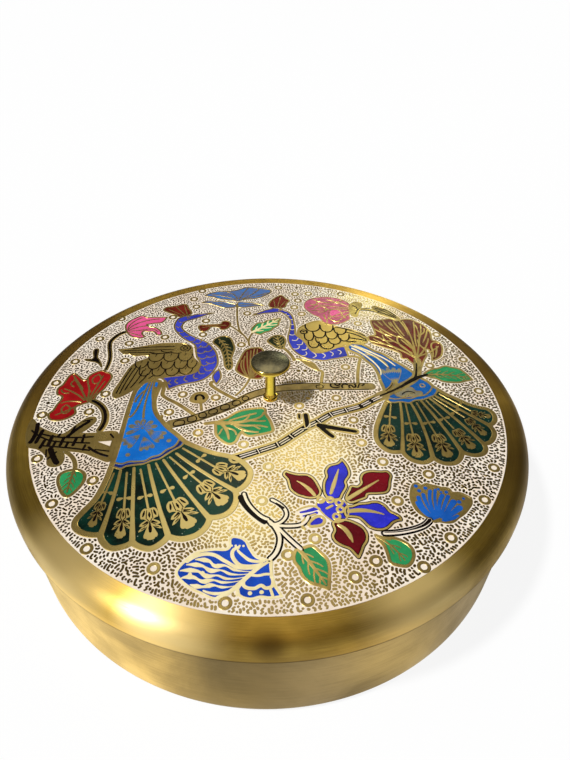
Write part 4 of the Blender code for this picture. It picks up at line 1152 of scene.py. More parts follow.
drawCell([(37.4, 71.4), (42.7, 73.2), (42.1, 67.3), (40.9, 63.8), (39.8, 60.2), (37.4, 61.4)],
    "brassField", 0.6)
drawLine([(38.6, 70), (40.6, 67.4), (39.2, 63)], 0.5, "dark", 2)
drawStem([(42, 67), (46, 66.8), (50, 65.2)], (2.4, "dark", 0), (1.4, "brass", 2))
drawCell([(48.6, 70), (52.6, 69), (56, 66), (58.6, 62.4), (60.2, 58.6), (56, 60), (51.8, 62.2),
    (48.8, 65.6)], "branchField", 0.6)
drawLines(([(49.6, 68.4), (54.4, 64.8), (58.8, 60)], [(49.6, 66.6), (53.4, 63.4), (57.6, 60.4)],
    [(50.6, 69), (55.4, 66), (58.8, 61.6)]), 0.5, "dark", 2)

# Big red-brown flower and the lotus on the right
drawCell([(46.5, 57.4), (49.8, 57.6), (52.8, 58.3), (55.7, 59.1), (59, 57.4), (62.3, 58.7), (65.7, 58.7),
    (68.2, 56.6), (70.7, 54.1), (72.1, 51.2), (73, 47.8), (72.8, 42), (74.8, 41.2), (76.1, 39.1),
    (76.3, 36.6), (75.7, 33.3), (74.4, 29.9), (72.3, 27.8), (69.8, 26.6, 1), (70.3, 30.3), (69.8, 34.5, 1),
    (68.6, 34.5), (68.2, 30.3), (66.5, 27), (65.3, 24.1), (64, 20.8), (61.5, 15.8), (59.8, 15.3),
    (61.1, 19.9), (61.1, 23.7), (59.8, 25.8), (59, 27.4), (56.9, 27.8), (56.7, 31.2), (54.4, 33.3),
    (51.5, 34.9), (48.2, 36.6), (45, 38.7), (43.6, 42), (44, 44.1), (46.9, 45.3), (46.9, 48.7), (46.5, 52),
    (46.1, 55.3)], "russet", 0.9)
for x, y, angle, long, wide in ((62.5, 52, 80, 7, 4), (66, 49, 60, 6, 3.4), (57, 38, 160, 6, 3.4),
        (60.4, 35, 120, 5, 2.6), (71.4, 37, 70, 5, 3), (61, 27, 100, 4, 2)):
    petal(x, y, angle, -long / 2, long, wide, "maroon", 1)
drawLines(([(63, 28), (62.4, 36), (58.6, 46), (55.4, 56)], [(63, 28), (63.6, 38), (63, 48), (61.4, 57)],
    [(63.4, 28), (66, 38), (67.4, 46), (67, 54)], [(63.8, 28.4), (68.6, 36), (71.2, 43)],
    [(62.6, 28.4), (59, 36), (53, 43), (49.6, 50)], [(62.2, 28.6), (57, 34), (50, 38.6), (46, 42)],
    [(64.4, 29.4), (70.4, 33), (74.6, 37)], [(62.8, 27.4), (62.6, 22), (61.4, 17.6)],
    [(56, 34), (51.6, 40), (50.4, 45)], [(66.8, 45), (70, 48), (70.6, 51)]), (0.95, 0.6))
drawLines(([(57.4, 44.6), (56.8, 40), (58.6, 35.6), (62, 32)],
    [(57.6, 44.6), (60.4, 42), (62.4, 38), (63, 33)], [(58.6, 41.6), (60.4, 38.6), (62, 35.4)],
    [(44.4, 40.6), (49, 38.4), (54, 36.4), (57.4, 33)], [(45, 44.4), (48, 43.6), (51, 41), (54.6, 40.4)],
    [(60, 57.4), (61.6, 52), (62.4, 45.6)], [(57, 57), (58.4, 51), (60.4, 45)],
    [(52, 57.4), (54, 52), (57, 47.4)], [(47.6, 55), (50, 51), (53.4, 47), (57, 44)],
    [(47.2, 50), (50.6, 47), (54.6, 44)], [(66.6, 56.4), (66, 50.4), (65.2, 44), (64.8, 37)],
    [(69.6, 54), (68.6, 48), (66.6, 41), (65.4, 35)], [(72, 50), (70.4, 45), (68.2, 40)],
    [(75.2, 39.6), (73.4, 40.2), (71.6, 38), (71.4, 33), (70.8, 29)], [(73.8, 37), (73, 33), (71.6, 29)],
    [(68.6, 34.6), (66.4, 38), (66, 42)], [(54.6, 55.4), (55.6, 52.4)], [(49.6, 56.4), (51.4, 53)]),
    (0.7, 0.9, 0.5))
drawCell([(64.8, 16.6), (65.7, 18.3), (68.6, 20.3), (71.5, 21.2), (74.8, 22.8), (77.3, 22), (80.3, 21.2),
    (81.9, 19.1), (83.2, 16.6), (84.2, 13.7, 1), (81.1, 12.8), (78.2, 11.8), (74.8, 11.8), (71.5, 12.4),
    (69.4, 14.1), (66.9, 14.9)], "leaf", 1.1)
leafVeins([(65.4, 16.4), (72, 16.8), (78, 16.2), (82.6, 14.6)], 6, 4, 38, 0.5, spineWidth=(1.2, 0.5))
drawCell([(52.8, -57.2), (50.5, -55.6), (49, -53), (48.3, -49.5), (48.8, -46.4), (50, -43.4), (51.6, -42.6),
    (53, -43.6), (54.6, -42.8), (56.4, -43.4), (58, -43.8), (59.6, -44.4), (61, -44.4), (62.2, -45),
    (62.8, -46.4), (65, -46.4), (67, -47.4), (68.6, -48.6, 1), (68.2, -51), (66.8, -53), (65, -55),
    (62.6, -56.8), (60.6, -58.4), (58.4, -58.8), (56, -58.4), (54.4, -58.6)], "brassField", 0.7)
for points, width in (([(54.4, -57.4), (51.6, -54.6), (50.2, -51)], (0.9, 1.3)),
        ([(54.8, -57.2), (52, -53), (51, -48.8)], (0.9, 1.5)),
        ([(55.2, -57), (53.4, -52), (52.8, -47.6)], (0.9, 1.4)),
        ([(55.6, -56.8), (54.6, -51), (55.4, -46)], (1.0, 1.3)),
        ([(56, -56.6), (56.2, -50.6), (57.2, -45.6)], (1.0, 1.1)),
        ([(56.6, -56.4), (57.6, -51), (59.2, -47.8)], (1.0, 1.5)),
        ([(57, -56.6), (58.8, -52.4), (61, -48.2)], (1.0, 1.4)),
        ([(57.6, -57), (60, -53.6), (62.4, -50.4)], (1.1, 2.1)),
        ([(58, -57.4), (61, -55), (63.8, -52.8)], (1.2, 2.2)),
        ([(57.4, -58), (60, -57.3), (62.4, -56.2)], (1.0, 1.3))):
    band(points, width, "lotusBlue", 2, False)
for x, y, radius in ((50.9, -44, 0.7), (51.7, -46, 0.7), (54, -44.8, 0.7), (58.3, -45.2, 0.5),
        (59, -46.4, 0.5), (60.8, -46.4, 0.65), (64.2, -50.4, 0.75), (66, -49, 0.5)):
    dot(x, y, radius, "lotusBlue", 2)
lotusStem = [(53, -58), (50, -60.5), (44, -62.5), (38, -63.2)]
drawStem(lotusStem, (2.6, "dark", 1), ((1.6, 1.2, 1.2), "white", 3))
drawLine([(53, -58), (50, -60.4), (44, -62.3), (38, -62.9)], (1.4, 0.5, 0.35), "dark", 4)

# Star flower and its neighbours at the front right
star = (
    ("maroon", [(6, -40), (6.8, -38.5, 1), (8.5, -39.3), (11, -39.9), (14, -40), (16, -41.5), (17.5, -44.5),
        (18.3, -47.5), (17, -49.4), (14.5, -49.8), (12.2, -49.2), (10.5, -48.5), (8.5, -46.5), (7.8, -44),
        (7.3, -42)]),
    ("starBlue", [(20, -42.5), (19.6, -45), (20, -48.5), (21.5, -50), (24.5, -50), (25.6, -48),
        (27.2, -44.6), (27, -42.6), (28.6, -39.5), (28.4, -36.5), (27.4, -34), (26.4, -32.5, 1),
        (25, -34.4), (22, -35.6), (20.6, -38), (20.8, -40.5)]),
    ("maroon", [(27.4, -51), (26.8, -49.6), (28.3, -46), (29, -44.6), (31, -44.8), (32.5, -43.2),
        (32.5, -41), (33.6, -38.8), (36, -37.8), (40, -37.9), (42, -37.8), (43, -40, 1), (42.2, -42.5),
        (41.8, -44.6), (40.5, -46.8), (37.5, -47.4), (34, -47.8), (33.4, -49.2), (31, -50.4),
        (28.6, -51.4)]),
    ("starBlue", [(26.5, -53.4), (28.5, -53), (31, -52), (34, -51.6), (35, -51.2), (37.4, -51.2),
        (39.2, -52.4), (40.6, -54.6), (43.4, -56.6), (43.8, -58, 1), (41.4, -58.8), (39.6, -60.6),
        (38, -61.6), (35.6, -61.8), (33.4, -60.8), (31.8, -58.8), (30.4, -57.4), (28, -57), (26.3, -56.8)]),
    ("maroon", [(22, -59.6), (24, -58.6), (26.6, -58.6), (29, -59.6), (31, -61), (32.2, -63.4), (32, -66),
        (30.8, -68), (30, -70), (29, -72, 1), (28, -70.8), (26.6, -69), (24.4, -68), (22.4, -66.6),
        (21.6, -64.6), (22.4, -62.4)]),
)
drawCell([(16.8, -52.4), (19, -50.8), (22, -50.4), (26, -51), (27.2, -54), (26.2, -58), (22.8, -59.4),
    (20.6, -58), (18.6, -55.8)], "starBlue", 0.6)
for colour, points in star:
    drawLine(points, 1.35, "dark", 0, True)
    drawCell(points, colour, 0.8, moat=0.55)
drawCell([(14.2, -60.8), (15.2, -58.6), (17.6, -57.2), (19.2, -58.4), (18.6, -60.2), (16.4, -61)],
    "starBlue", 1.1, moat=0.3)
for points, width in (([(11.6, -55.8), (14.4, -55), (16.8, -54)], (0.7, 1.6)),
        ([(12.4, -57.2), (14.6, -56.6), (16.8, -55.8)], (0.5, 1.0))):
    band(points, width, "starBlue")
drawLine([(10.4, -55.2), (12.6, -53.8), (15.6, -53.2), (17.8, -54.4)], (0.5, 0.8, 0.8), clear=True)
drawLine([(12.8, -62.2), (12, -60.2), (13.6, -57.8), (16.4, -56.4)], (1.2, 0.8, 0.7), clear=True)
drawLine([(20.2, -54.1), (22, -52.9)], 0.9, level=2)
for points, width in (([(10.5, -42.8), (13.5, -45), (16.3, -48.6)], (0.4, 1.0, 1.5, 1.2)),
        ([(25, -37.2), (23.6, -42), (21.8, -47.8)], (0.4, 1.1, 1.5, 1.1)),
        ([(38.4, -41.8), (33.2, -45.6), (27.6, -49.8)], (0.5, 1.0, 1.5, 1.4)),
        ([(38.5, -56), (33, -54.6), (27.4, -55)], (0.5, 1.1, 1.7, 1.5)),
        ([(27.6, -66.6), (26, -62.6), (23.6, -60.4)], (0.5, 1.6, 1.6, 1.0))):
    drawLine(points, width)
for x, y in ((18.3, -50.7), (21.4, -50.5), (24.3, -51.6), (24.6, -54.4), (23.2, -57.2)):
    ring(x, y, 1.55, 0.6, level=3, clear=False)
drawCell([(35, -64, 1), (38, -65), (41, -65), (44, -66.5), (45.8, -69), (45.5, -72), (43.5, -74.5),
    (41, -74.5), (38.5, -73.5), (38, -71), (37.3, -68), (36, -66)], "leaf", 1.1)
leafVeins([(35.4, -64.4), (39.4, -67.8), (42.8, -72.6)], 3, 3.2, 30, 0.45)
drawCell([(10, -70), (12.5, -69), (15, -68.3), (17.5, -70.5), (19.5, -73), (20, -76), (19.8, -79),
    (19.5, -82.5, 1), (17, -81.5), (14, -80.5), (12, -78.5), (11, -76), (9.5, -73.5)], "leaf", 1.1)
leafVeins([(11, -69.6), (14.6, -74.6), (18.6, -81)], 4, 4.6, 32, 0.65, spineWidth=(1.5, 0.6))
for points, width in (([(-7.2, -48.8), (-5.4, -53), (-2, -57), (1, -58.8)], 1.7),
        ([(2.2, -51), (6, -54), (7, -57), (5, -60), (2, -60.5)], 1.5),
        ([(1.6, -59.6), (3.6, -62), (5, -65.6), (4.4, -70), (2.4, -73)], 1.9),
        ([(2.4, -60.8), (8, -61.2), (12, -60.4), (14, -57.5)], 1.6),
        ([(4, -61.5), (8, -66), (11.5, -69.5)], 1.7)):
    drawStem(points, (width + 0.5, "dark", 1), (width * 0.62, "white", 3))
drawLine([(-8, -50.4), (-5.6, -54.6), (-2.6, -58), (0, -60.2)], (2.6, 1.8, 1.2), "dark", 2, clear=True)
drawLine([(3.6, -52.2), (6, -54.2)], (0.3, 0.9), "dark", 4)

# Deep blue flower at the front, its petals parted by wide brass lines
drawCell([(-25, -78), (-23.5, -75), (-20, -71.5), (-15, -70.3), (-10.5, -69.8), (-10, -66), (-7.5, -65.8),
    (-5.5, -67), (-4, -69.8), (-2, -72.5), (1, -73.5), (2.5, -73.5), (2.8, -77), (3.5, -81), (5, -83.5),
    (6, -85, 1), (2.5, -85.5), (0, -85.3), (-3, -86), (-6, -85), (-7, -83), (-12.5, -86), (-17, -84.5),
    (-21, -82.5), (-24, -80)], "royal", 0.8, rim="pale")
ragged = (0.2, 0.35, 0.9, 0.5, 1.6, 0.7, 1.6, 0.4)
for points, width in (([(2, -74), (-2.6, -77.4), (-6, -81), (-9.4, -84.4), (-12, -85.8)], (0.9, 1.2, 1.3)),
        ([(1.6, -74.2), (-3.2, -78.6), (-6.4, -82.6), (-6.8, -85)], 0.7),
        ([(0.5, -73.8), (-3.4, -73.8), (-5.8, -72.2), (-7.6, -70.4)], (0.9, 1.1, 0.8)),
        ([(0, -74.8), (-6, -75.6), (-8.6, -73.4), (-9.2, -70.8), (-7.6, -69.4)], (1.0, 1.3, 1.1)),
        ([(-1, -75.8), (-7, -76.2), (-11, -74.2), (-15, -72), (-19, -72.2), (-22.4, -74.4)],
        (1.0, 1.2, 1.3)), ([(-3, -77.4), (-8, -77), (-11, -75.6), (-14, -75.8), (-16, -74.2), (-20, -73.8)],
        ragged), ([(-4, -78.2), (-9, -78.4), (-12, -77.2), (-15, -77.4), (-18, -75.8), (-22.4, -75.6)],
        ragged), ([(-5, -79.2), (-10, -79.9), (-13, -78.9), (-16, -79.2), (-19, -77.6), (-24, -77.6)],
        ragged), ([(-6, -80.4), (-11, -81.1), (-14, -80.4), (-17, -80.9), (-20, -79.6), (-23.4, -80)],
        ragged), ([(-7.4, -82), (-11, -82.6), (-14, -82), (-17, -82.6), (-20.4, -82)], ragged),
        ([(-9.4, -83.8), (-13, -84.6), (-16.4, -83.8)], (0.6, 1.0, 0.6)),
        ([(-3.6, -78.4), (-1, -78.7), (1, -78.2), (2.6, -78.2)], 0.85),
        ([(-5, -80.2), (-4.8, -82.2), (-2, -82.8), (0, -81.8), (1.4, -82.6), (3.2, -81.8), (2.9, -79)],
        1.1), ([(-3.8, -78.6), (-4.9, -80.4)], 0.9), ([(2.4, -74.6), (3, -79), (4.4, -82.4)], 0.7)):
    band(points, width, "paleField", 2, False)
for x, y in ((-3.1, -84.3), (0.2, -83.9), (-17.4, -78.2), (-21, -78.8)):
    dot(x, y, 0.65, "paleField", 3)
drawLine([(2.8, -83.2), (3.4, -84.8)], 0.9, "pale", 3)
for x in (-9.6, -8.4, -7.2, -6):
    dot(x, -68.8, 0.4, "paleField", 3)

# Leaves in the middle
drawCell([(-19.9, -14.9), (-16, -12.1), (-13.2, -9.3), (-10.4, -7.7), (-6, -6.6), (-2.1, -6.6),
    (-1.6, -9.3), (0.1, -12.7), (1.2, -16), (1.5, -18.8), (-0.4, -19.9), (-3.8, -21), (-7.7, -21.6),
    (-9.9, -19.3, 1), (-11, -21.6), (-12.1, -24.9), (-14.3, -26), (-17.1, -24.3), (-19.3, -21.6),
    (-19.9, -18.8)], "leaf", 1.2)
for points, width in (([(-20, -15), (-14, -14.8), (-8, -13.6), (-3.6, -11.4), (-2.4, -9)], (2.4, 1.4, 0.8)),
        ([(-15, -13.6), (-10, -11.2), (-5.4, -9.4)], 0.9),
        ([(-14, -15.4), (-9, -16.2), (-4, -16), (-0.6, -16.8)], (1.4, 1.0, 0.7)),
        ([(-13, -16), (-9, -18.6), (-4, -19.6)], (1.2, 0.8)),
        ([(-17.8, -15.8), (-15.8, -19), (-14.6, -23.4)], (1.6, 0.8)),
        ([(-16.6, -17.6), (-13.4, -18.6), (-12, -21)], 0.8), ([(-17.6, -18.4), (-18.4, -21)], 0.7),
        ([(-10.4, -14), (-8.6, -12.4), (-7.6, -10)], 0.8),
        ([(-7, -13.4), (-4.4, -13.6), (-1.6, -13.4)], 0.8), ([(-6, -16), (-3.4, -17.8)], 0.7)):
    drawLine(points, width)
drawLine([(-24, -15.5), (-20, -14.7)], 1.8, clear=True)
branch = [(-37, -16), (-30, -13.5), (-22, -9),
    (-14, -4), (-8, 1), (-2, 4), (4, 6), (16, 7.5), (30, 7.8), (41, 8.2)]
band(branch, 4.6, "branchField", 0)
drawLine([(-36, -14), (-30, -11.4), (-22, -6.9), (-14, -1.9), (-8, 3.1), (-2, 6.1), (4, 8), (16, 9.5),
    (30, 9.9), (40, 10.2)], 0.4, "dark", 2)
drawLine([(-36, -18), (-30, -15.5), (-22, -11), (-14, -6), (-8, -1), (-2, 2), (4, 4.1), (16, 5.4),
    (30, 5.8), (40, 6.2)], 0.35, "dark", 2)


def knot(x, y, heading, length, width):
    # A rounded outline cut into the bark
    shape = ((-0.5, -0.2), (-0.3, 0.5), (0.35, 0.5), (0.5, 0.1), (0.35, -0.5), (-0.3, -0.5))
    drawLine([swung(x, y, heading, u * length, v * width) for u, v in shape], 0.45, "dark", 3, True)


for place in ((-34.2, -15.6, 20, 4.4, 2.4), (-29.6, -13.2, 26, 3.6, 2.6), (-25.8, -11, 28, 3, 2.4),
        (-22, -8.8, 30, 3.6, 2.2), (-17.6, -6.2, 30, 3.8, 2.4), (-13.4, -3.6, 32, 3.4, 2.2),
        (-10, -0.8, 38, 2.6, 2.0), (20, 7.4, 3, 3, 1.8)):
    knot(*place)
drawLines(([(24.6, 9), (25.2, 7.2), (28, 7.4)], [(26.4, 9.2), (27.4, 8.4), (28.4, 9.2)],
    [(29.4, 7.2), (29.6, 9), (31.6, 9)], [(32.4, 7.2), (32.6, 8.8), (34.4, 7.4), (34.6, 9.2)],
    [(35.8, 7.4), (36.4, 9.4)], [(37.6, 8.6), (38.4, 9.4)]), 0.8, "dark", 2)
drawCell([(-31.5, -3), (-31.5, 0), (-30, 2), (-27, 2.5), (-25, 0), (-25.5, -2.5), (-27, -4)],
    "brassField", 0.7)
drawLine([(-29.6, -2), (-29.4, 0.4), (-27.6, 0.6), (-26.6, -1.4)], 1.0, "dark", 2)
drawLine([(-27.4, -4), (-26.6, -8)], 1.2, clear=True)
lower = [(-11.5, -33), (-4, -29.5), (4, -25.5),
    (9, -21), (14, -16.5), (19, -13), (24, -9), (30, -6.5), (36, -4), (40, -1), (46, 3)]
band(lower, 4.8, "brassField", 0)
band(lower, 2.7, "dark", 1, False)
for start, end in (((-9.6, -32.1), (-4.2, -29.6)), ((-2.6, -28.9), (2.6, -26.4)),
        ((4.4, -25.3), (7.6, -22.6)), ((9.4, -20.7), (12.6, -17.8)), ((15, -15.9), (17.8, -13.9)),
        ((19.6, -12.6), (22.8, -10)), ((24.6, -8.8), (29, -6.9)), ((30.8, -6.2), (35, -4.4)),
        ((36.6, -3.6), (39.6, -1.4)), ((41, -0.4), (44.6, 2))):
    ux, uy = end[0] - start[0], end[1] - start[1]
    length = math.hypot(ux, uy)
    for side in (-0.52, 0.52):
        beside = [(x - uy / length * side, y + ux / length * side) for x, y in (start, end)]
        drawLine(beside, 0.42, "white", 3)
for x, y, heading in ((-3.4, -29.2, 115), (3.6, -25.8, 115), (8.6, -21.6, 132), (19, -13.2, 130),
        (23.9, -9.4, 118), (30, -6.6, 112)):
    drawLine([swung(x, y, heading, -1.2, 0), swung(x, y, heading, 1.2, 0)], 0.35, "white", 3)
band([(44, 2.4), (50, 6), (54, 8.8), (58, 11.8), (61, 15.2), (62.4, 20), (63.4, 26.5)],
    (4.2, 3.4), "branchField", 3, False)
drawLine([(44.4, 2.4), (50, 5.8), (53, 8)], (0.8, 1.1), "dark", 5)
drawLine([(53, 8), (57, 11), (60.4, 14.6), (61.8, 19.4), (62.6, 24)], (1.2, 1.1, 0.6), "dark", 5)
drawLine([(47, 5.6), (49.4, 8.2), (50.4, 10.8)], (1.9, 1.4), "brass", 4)
drawLine([(47, 5.6), (49.4, 8.2), (50.2, 10.2)], (0.5, 0.4), "dark", 6)
drawLine([(53.4, 8), (58, 12), (62, 14.8), (65.6, 16.4)], (1.2, 1.9, 1.5), "dark", 4, clear=True)
for points, width in (([(14, -9.8), (14.3, -13), (14.6, -16)], 1.7),
        ([(19, -15.4), (26, -17), (32.4, -18.3)], (2.2, 1.5)),
        ([(19.5, -16), (21.6, -18.8), (23.8, -21.2)], (1.9, 1.5)), ([(11.4, -9.6), (11.5, -11.6)], 0.8)):
    drawStem(points, (np.max(width) + 1.2, "brass", 0), (width, "dark", 4))
drawLine([(12.6, -17.6), (14.4, -16.8), (15.4, -14.8)], 0.4, "white", 5)
drawCell([(-10.4, 47.6), (-9, 51), (-7.6, 53.2), (-5, 53.6), (-3, 55.6), (0, 56.4), (2.8, 57.4),
    (2.2, 54.4), (2, 51.6), (0, 49.4), (-1.6, 46.8), (-4, 45.6), (-6, 44), (-8.6, 45)], "leaf", 1.0)
leafVeins([(-9.6, 45.6), (-4.6, 50.2), (1.8, 56.4)], 4, 4.4, 38, 1.0, "pale", spineWidth=(1.6, 0.8))
drawLine([(-9.5, 45), (-11, 40), (-10.5, 35)], 1.0, clear=True)
drawCell([(-27, 37), (-26, 40), (-23, 42), (-20.5, 41.5), (-19, 39.5), (-17.8, 36), (-17, 33), (-17.4, 29),
    (-17.8, 25), (-17, 21), (-18, 17.5), (-20, 19.6), (-20.8, 24), (-21.6, 27.5), (-22.8, 31), (-24.8, 34)],
    "darkLeaf", 0.9)
leafVeins([(-24.6, 39.4), (-21.4, 34), (-19.6, 27.4), (-18.4, 19)], 8, 3.2, 42, 0.75, spineWidth=(0.9, 0.5))
drawCell([(-2.5, 38.5), (-1.5, 41), (0.5, 43), (2.5, 43.5), (4.5, 42.5), (5.6, 39), (5.2, 36), (4.4, 33.2),
    (2, 33.5), (0, 35.5)], "darkLeaf", 1.0)
leafVeins([(3.6, 33.6), (2.6, 38), (1.8, 42.4)], 4, 3, 46, 0.7, spineWidth=(1.0, 0.6))
drawLine([(5, 33.5), (8, 29), (9.5, 25)], 1.6, clear=True)
drawCell([(-15, 20), (-14, 25), (-13, 29), (-11.5, 32), (-8, 33.5), (-5, 33), (-3.6, 28), (-3.4, 20),
    (-4, 12.5), (-8, 12), (-12, 14), (-15, 17)], "russet", 1.0)
drawLines(([(-9, 12.6), (-10.4, 20), (-11.2, 30)], [(-8.6, 12.6), (-8.4, 22), (-8.2, 32.4)],
    [(-8, 12.6), (-6.2, 20), (-5.4, 30)], [(-10, 13), (-13, 19), (-13, 24)],
    [(-7.4, 12.8), (-4.8, 18), (-4.2, 24)], [(-9.6, 12.8), (-12, 19.6), (-12, 27)],
    [(-8.8, 13), (-9.4, 22), (-9.6, 31)], [(-8.2, 13), (-7.2, 22), (-6.8, 32)]), 0.62)
drawLine([(-9, 12), (-11, 6), (-14, 1)], 1.0, clear=True)
rings = [(-38.5, 66.5), (-48.5, 56.8), (-32.3, 54.3), (-49.4, 40.3), (-32.4, 42.9), (-64.5, 35),
    (-63.5, 22.3), (-78.5, 38), (-72.6, 54.6), (-84.5, 21), (-88, 6.6), (-69.8, -10.2), (-87.2, -12.5),
    (-81.2, -34.8), (-59, -44.2), (-69.6, -54.3), (-53.5, -70.8), (-35.3, 1), (-21.8, -0.5), (-39, -9.6),
    (-26.3, -20.5), (-9, -26), (-66.2, 0.4), (-13.2, 61.4), (-14.2, 35.6), (13.2, 61.8), (9.6, 67.7),
    (10, 80.2), (16.8, 80.8), (33.3, 81), (39.8, 54.4), (1.4, 86.4), (-37.5, 81.5), (-40.6, 73.5),
    (11.4, 74), (31.6, 20.8), (26.5, 0.6), (11.5, -4.5), (32.3, -12), (34.3, -24), (41, -33.2),
    (56.3, -38.6), (43.8, -50.4), (73, -49.3), (58.5, -64.4), (48.2, -74.8), (34.1, -73.1), (16, -65.7),
    (7.6, -71.6), (27.4, -78.6), (13.3, -86), (-9.9, -87.4),
    (-1.2, -51.5), (0.5, -36.5), (-32, -77), (68.2, 23), (83.7, 27.6), (85.2, 6.6), (75.7, 46.5), (80, -35)]
for x, y in rings:
    ring(x, y, 2.1, 1.0)
cellCount, lineCount = (sum(map(len, store.values())) for store in (plates, lines))
print("drawing laid out:", cellCount, "cells,", lineCount, "lines")


# How far plates and lines stand above the lid's top, and how much each level adds
plateRise, lineRise, levelStep = 0.05, 0.03, 0.025


def area(loop):
    ahead = np.roll(loop, -1, 0)
    return float((loop[:, 0] * ahead[:, 1] - ahead[:, 0] * loop[:, 1]).sum() / 2)


def plateParts(loop, bottom, top, soften=0.035):
    # A thin raised plate: upright sides, a softened edge and a flat top
    if area(loop) < 0:
        loop = loop[::-1]
    heading = np.roll(loop, -1, 0) - np.roll(loop, 1, 0)
    heading /= np.maximum(np.linalg.norm(heading, axis=1, keepdims=True), 1e-9)
    inward = np.stack([-heading[:, 1], heading[:, 0]], 1)
    count = len(loop)
    levels = ((loop, bottom), (loop, top - soften), (loop + inward * soften, top))
    vertices = np.concatenate([np.column_stack([ringPoints, np.full(count, z)]) for ringPoints, z in levels])
    faces = []
    for start in (0, count):
        for k in range(count):
            j = (k + 1) % count
            faces.append([start + k, start + j, start + count + j, start + count + k])
    cap = levels[2][0]
    for a, b, c in geometry.tessellate_polygon([[Vector((x, y, 0)) for x, y in cap]]):
        (ux, uy), (vx, vy) = cap[b] - cap[a], cap[c] - cap[a]
        face = (a, b, c) if ux * vy - uy * vx > 0 else (a, c, b)
        faces.append([2 * count + k for k in face])
    return vertices, faces


def joinedPlates(name, items, material):
    vertices, faces, start = [], [], 0
    for index, (loop, level) in enumerate(items):
        # Each plate is a hair higher than the last, so that no two tops coincide where they meet
        top = lid["top"] + plateRise + levelStep * level + 0.0007 * (index % 19)
        found, sides = plateParts(loop, lid["top"] - 0.03, top)
        vertices.append(found)
        faces += [[v + start for v in face] for face in sides]
        start += len(found)
    return meshObject(name, np.concatenate(vertices), faces, material, 40)


def newTree(name, inputs):
    tree = bpy.data.node_groups.new(name, "GeometryNodeTree")
    for label, kind in inputs:
        tree.interface.new_socket(label, in_out="INPUT", socket_type=kind)
    tree.interface.new_socket("Geometry", in_out="OUTPUT", socket_type="NodeSocketGeometry")
    return tree, addNode(tree, "NodeGroupInput")


def grown(obj, tree, values):
    # Runs a node tree on an object with its inputs set, and keeps the plain mesh that comes out
    modifier = obj.modifiers.new(tree.name, "NODES")
    modifier.node_group = tree
    for socket in tree.interface.items_tree:
        if socket.in_out == "INPUT" and socket.name in values:
            modifier[socket.identifier] = values[socket.name]
    graph = bpy.context.evaluated_depsgraph_get()
    mesh = bpy.data.meshes.new_from_object(obj.evaluated_get(graph), depsgraph=graph)
    obj.modifiers.clear()
    obj.data = mesh
    mesh.name = obj.name


# Raised inlay lines: a low trapezoid carried along each curve, as wide as the curve's radius says
inlay, entry = newTree("inlay lines", [("Geometry", "NodeSocketGeometry"), ("Ways", "NodeSocketObject"),
    ("Relief", "NodeSocketFloat"), ("Top share", "NodeSocketFloat"), ("Finish", "NodeSocketMaterial")])
ways = addNode(inlay, "GeometryNodeObjectInfo", {"Object": entry.outputs["Ways"]})
upright = addNode(inlay, "GeometryNodeSetCurveNormal", {"Curve": ways.outputs["Geometry"]}, mode="Z_UP")
base = addNode(inlay, "ShaderNodeSeparateXYZ", {0: addNode(inlay, "GeometryNodeInputPosition").outputs[0]})
radiusNode = addNode(inlay, "GeometryNodeInputRadius")
kept = addNode(inlay, "GeometryNodeCaptureAttribute")
kept.capture_items.new("FLOAT", "wide")
kept.capture_items.new("FLOAT", "base")
inlay.links.new(upright.outputs[0], kept.inputs["Geometry"])
inlay.links.new(radiusNode.outputs[0], kept.inputs["wide"])
inlay.links.new(base.outputs["Z"], kept.inputs["base"])
edge = addNode(inlay, "GeometryNodeCurvePrimitiveQuadrilateral",
    {"Bottom Width": entry.outputs["Top share"], "Top Width": 1.0, "Offset": 0.0, "Height": 1.0},
    mode="TRAPEZOID")
strips = addNode(inlay, "GeometryNodeCurveToMesh", {"Curve": kept.outputs["Geometry"],
    "Profile Curve": edge.outputs[0], "Scale": kept.outputs["wide"], "Fill Caps": True})
spot = addNode(inlay, "ShaderNodeSeparateXYZ",
    {0: addNode(inlay, "GeometryNodeInputPosition").outputs[0]}).outputs
above = mathNode(inlay, "SUBTRACT", spot["Z"], kept.outputs["base"])
share = mathNode(inlay, "ADD", mathNode(inlay, "DIVIDE", above, kept.outputs["wide"]), 0.5)
rise = mathNode(inlay, "MULTIPLY_ADD", share, entry.outputs["Relief"], kept.outputs["base"])
moved = addNode(inlay, "ShaderNodeCombineXYZ", {0: spot["X"], 1: spot["Y"], 2: rise})
laid = addNode(inlay, "GeometryNodeSetPosition", {"Geometry": strips.outputs[0],
    "Position": moved.outputs[0]})
real = addNode(inlay, "GeometryNodeRealizeInstances", {"Geometry": laid.outputs[0]})
dressed = addNode(inlay, "GeometryNodeSetMaterial", {"Geometry": real.outputs[0],
    "Material": entry.outputs["Finish"]})
addNode(inlay, "NodeGroupOutput", {"Geometry": dressed.outputs[0]})


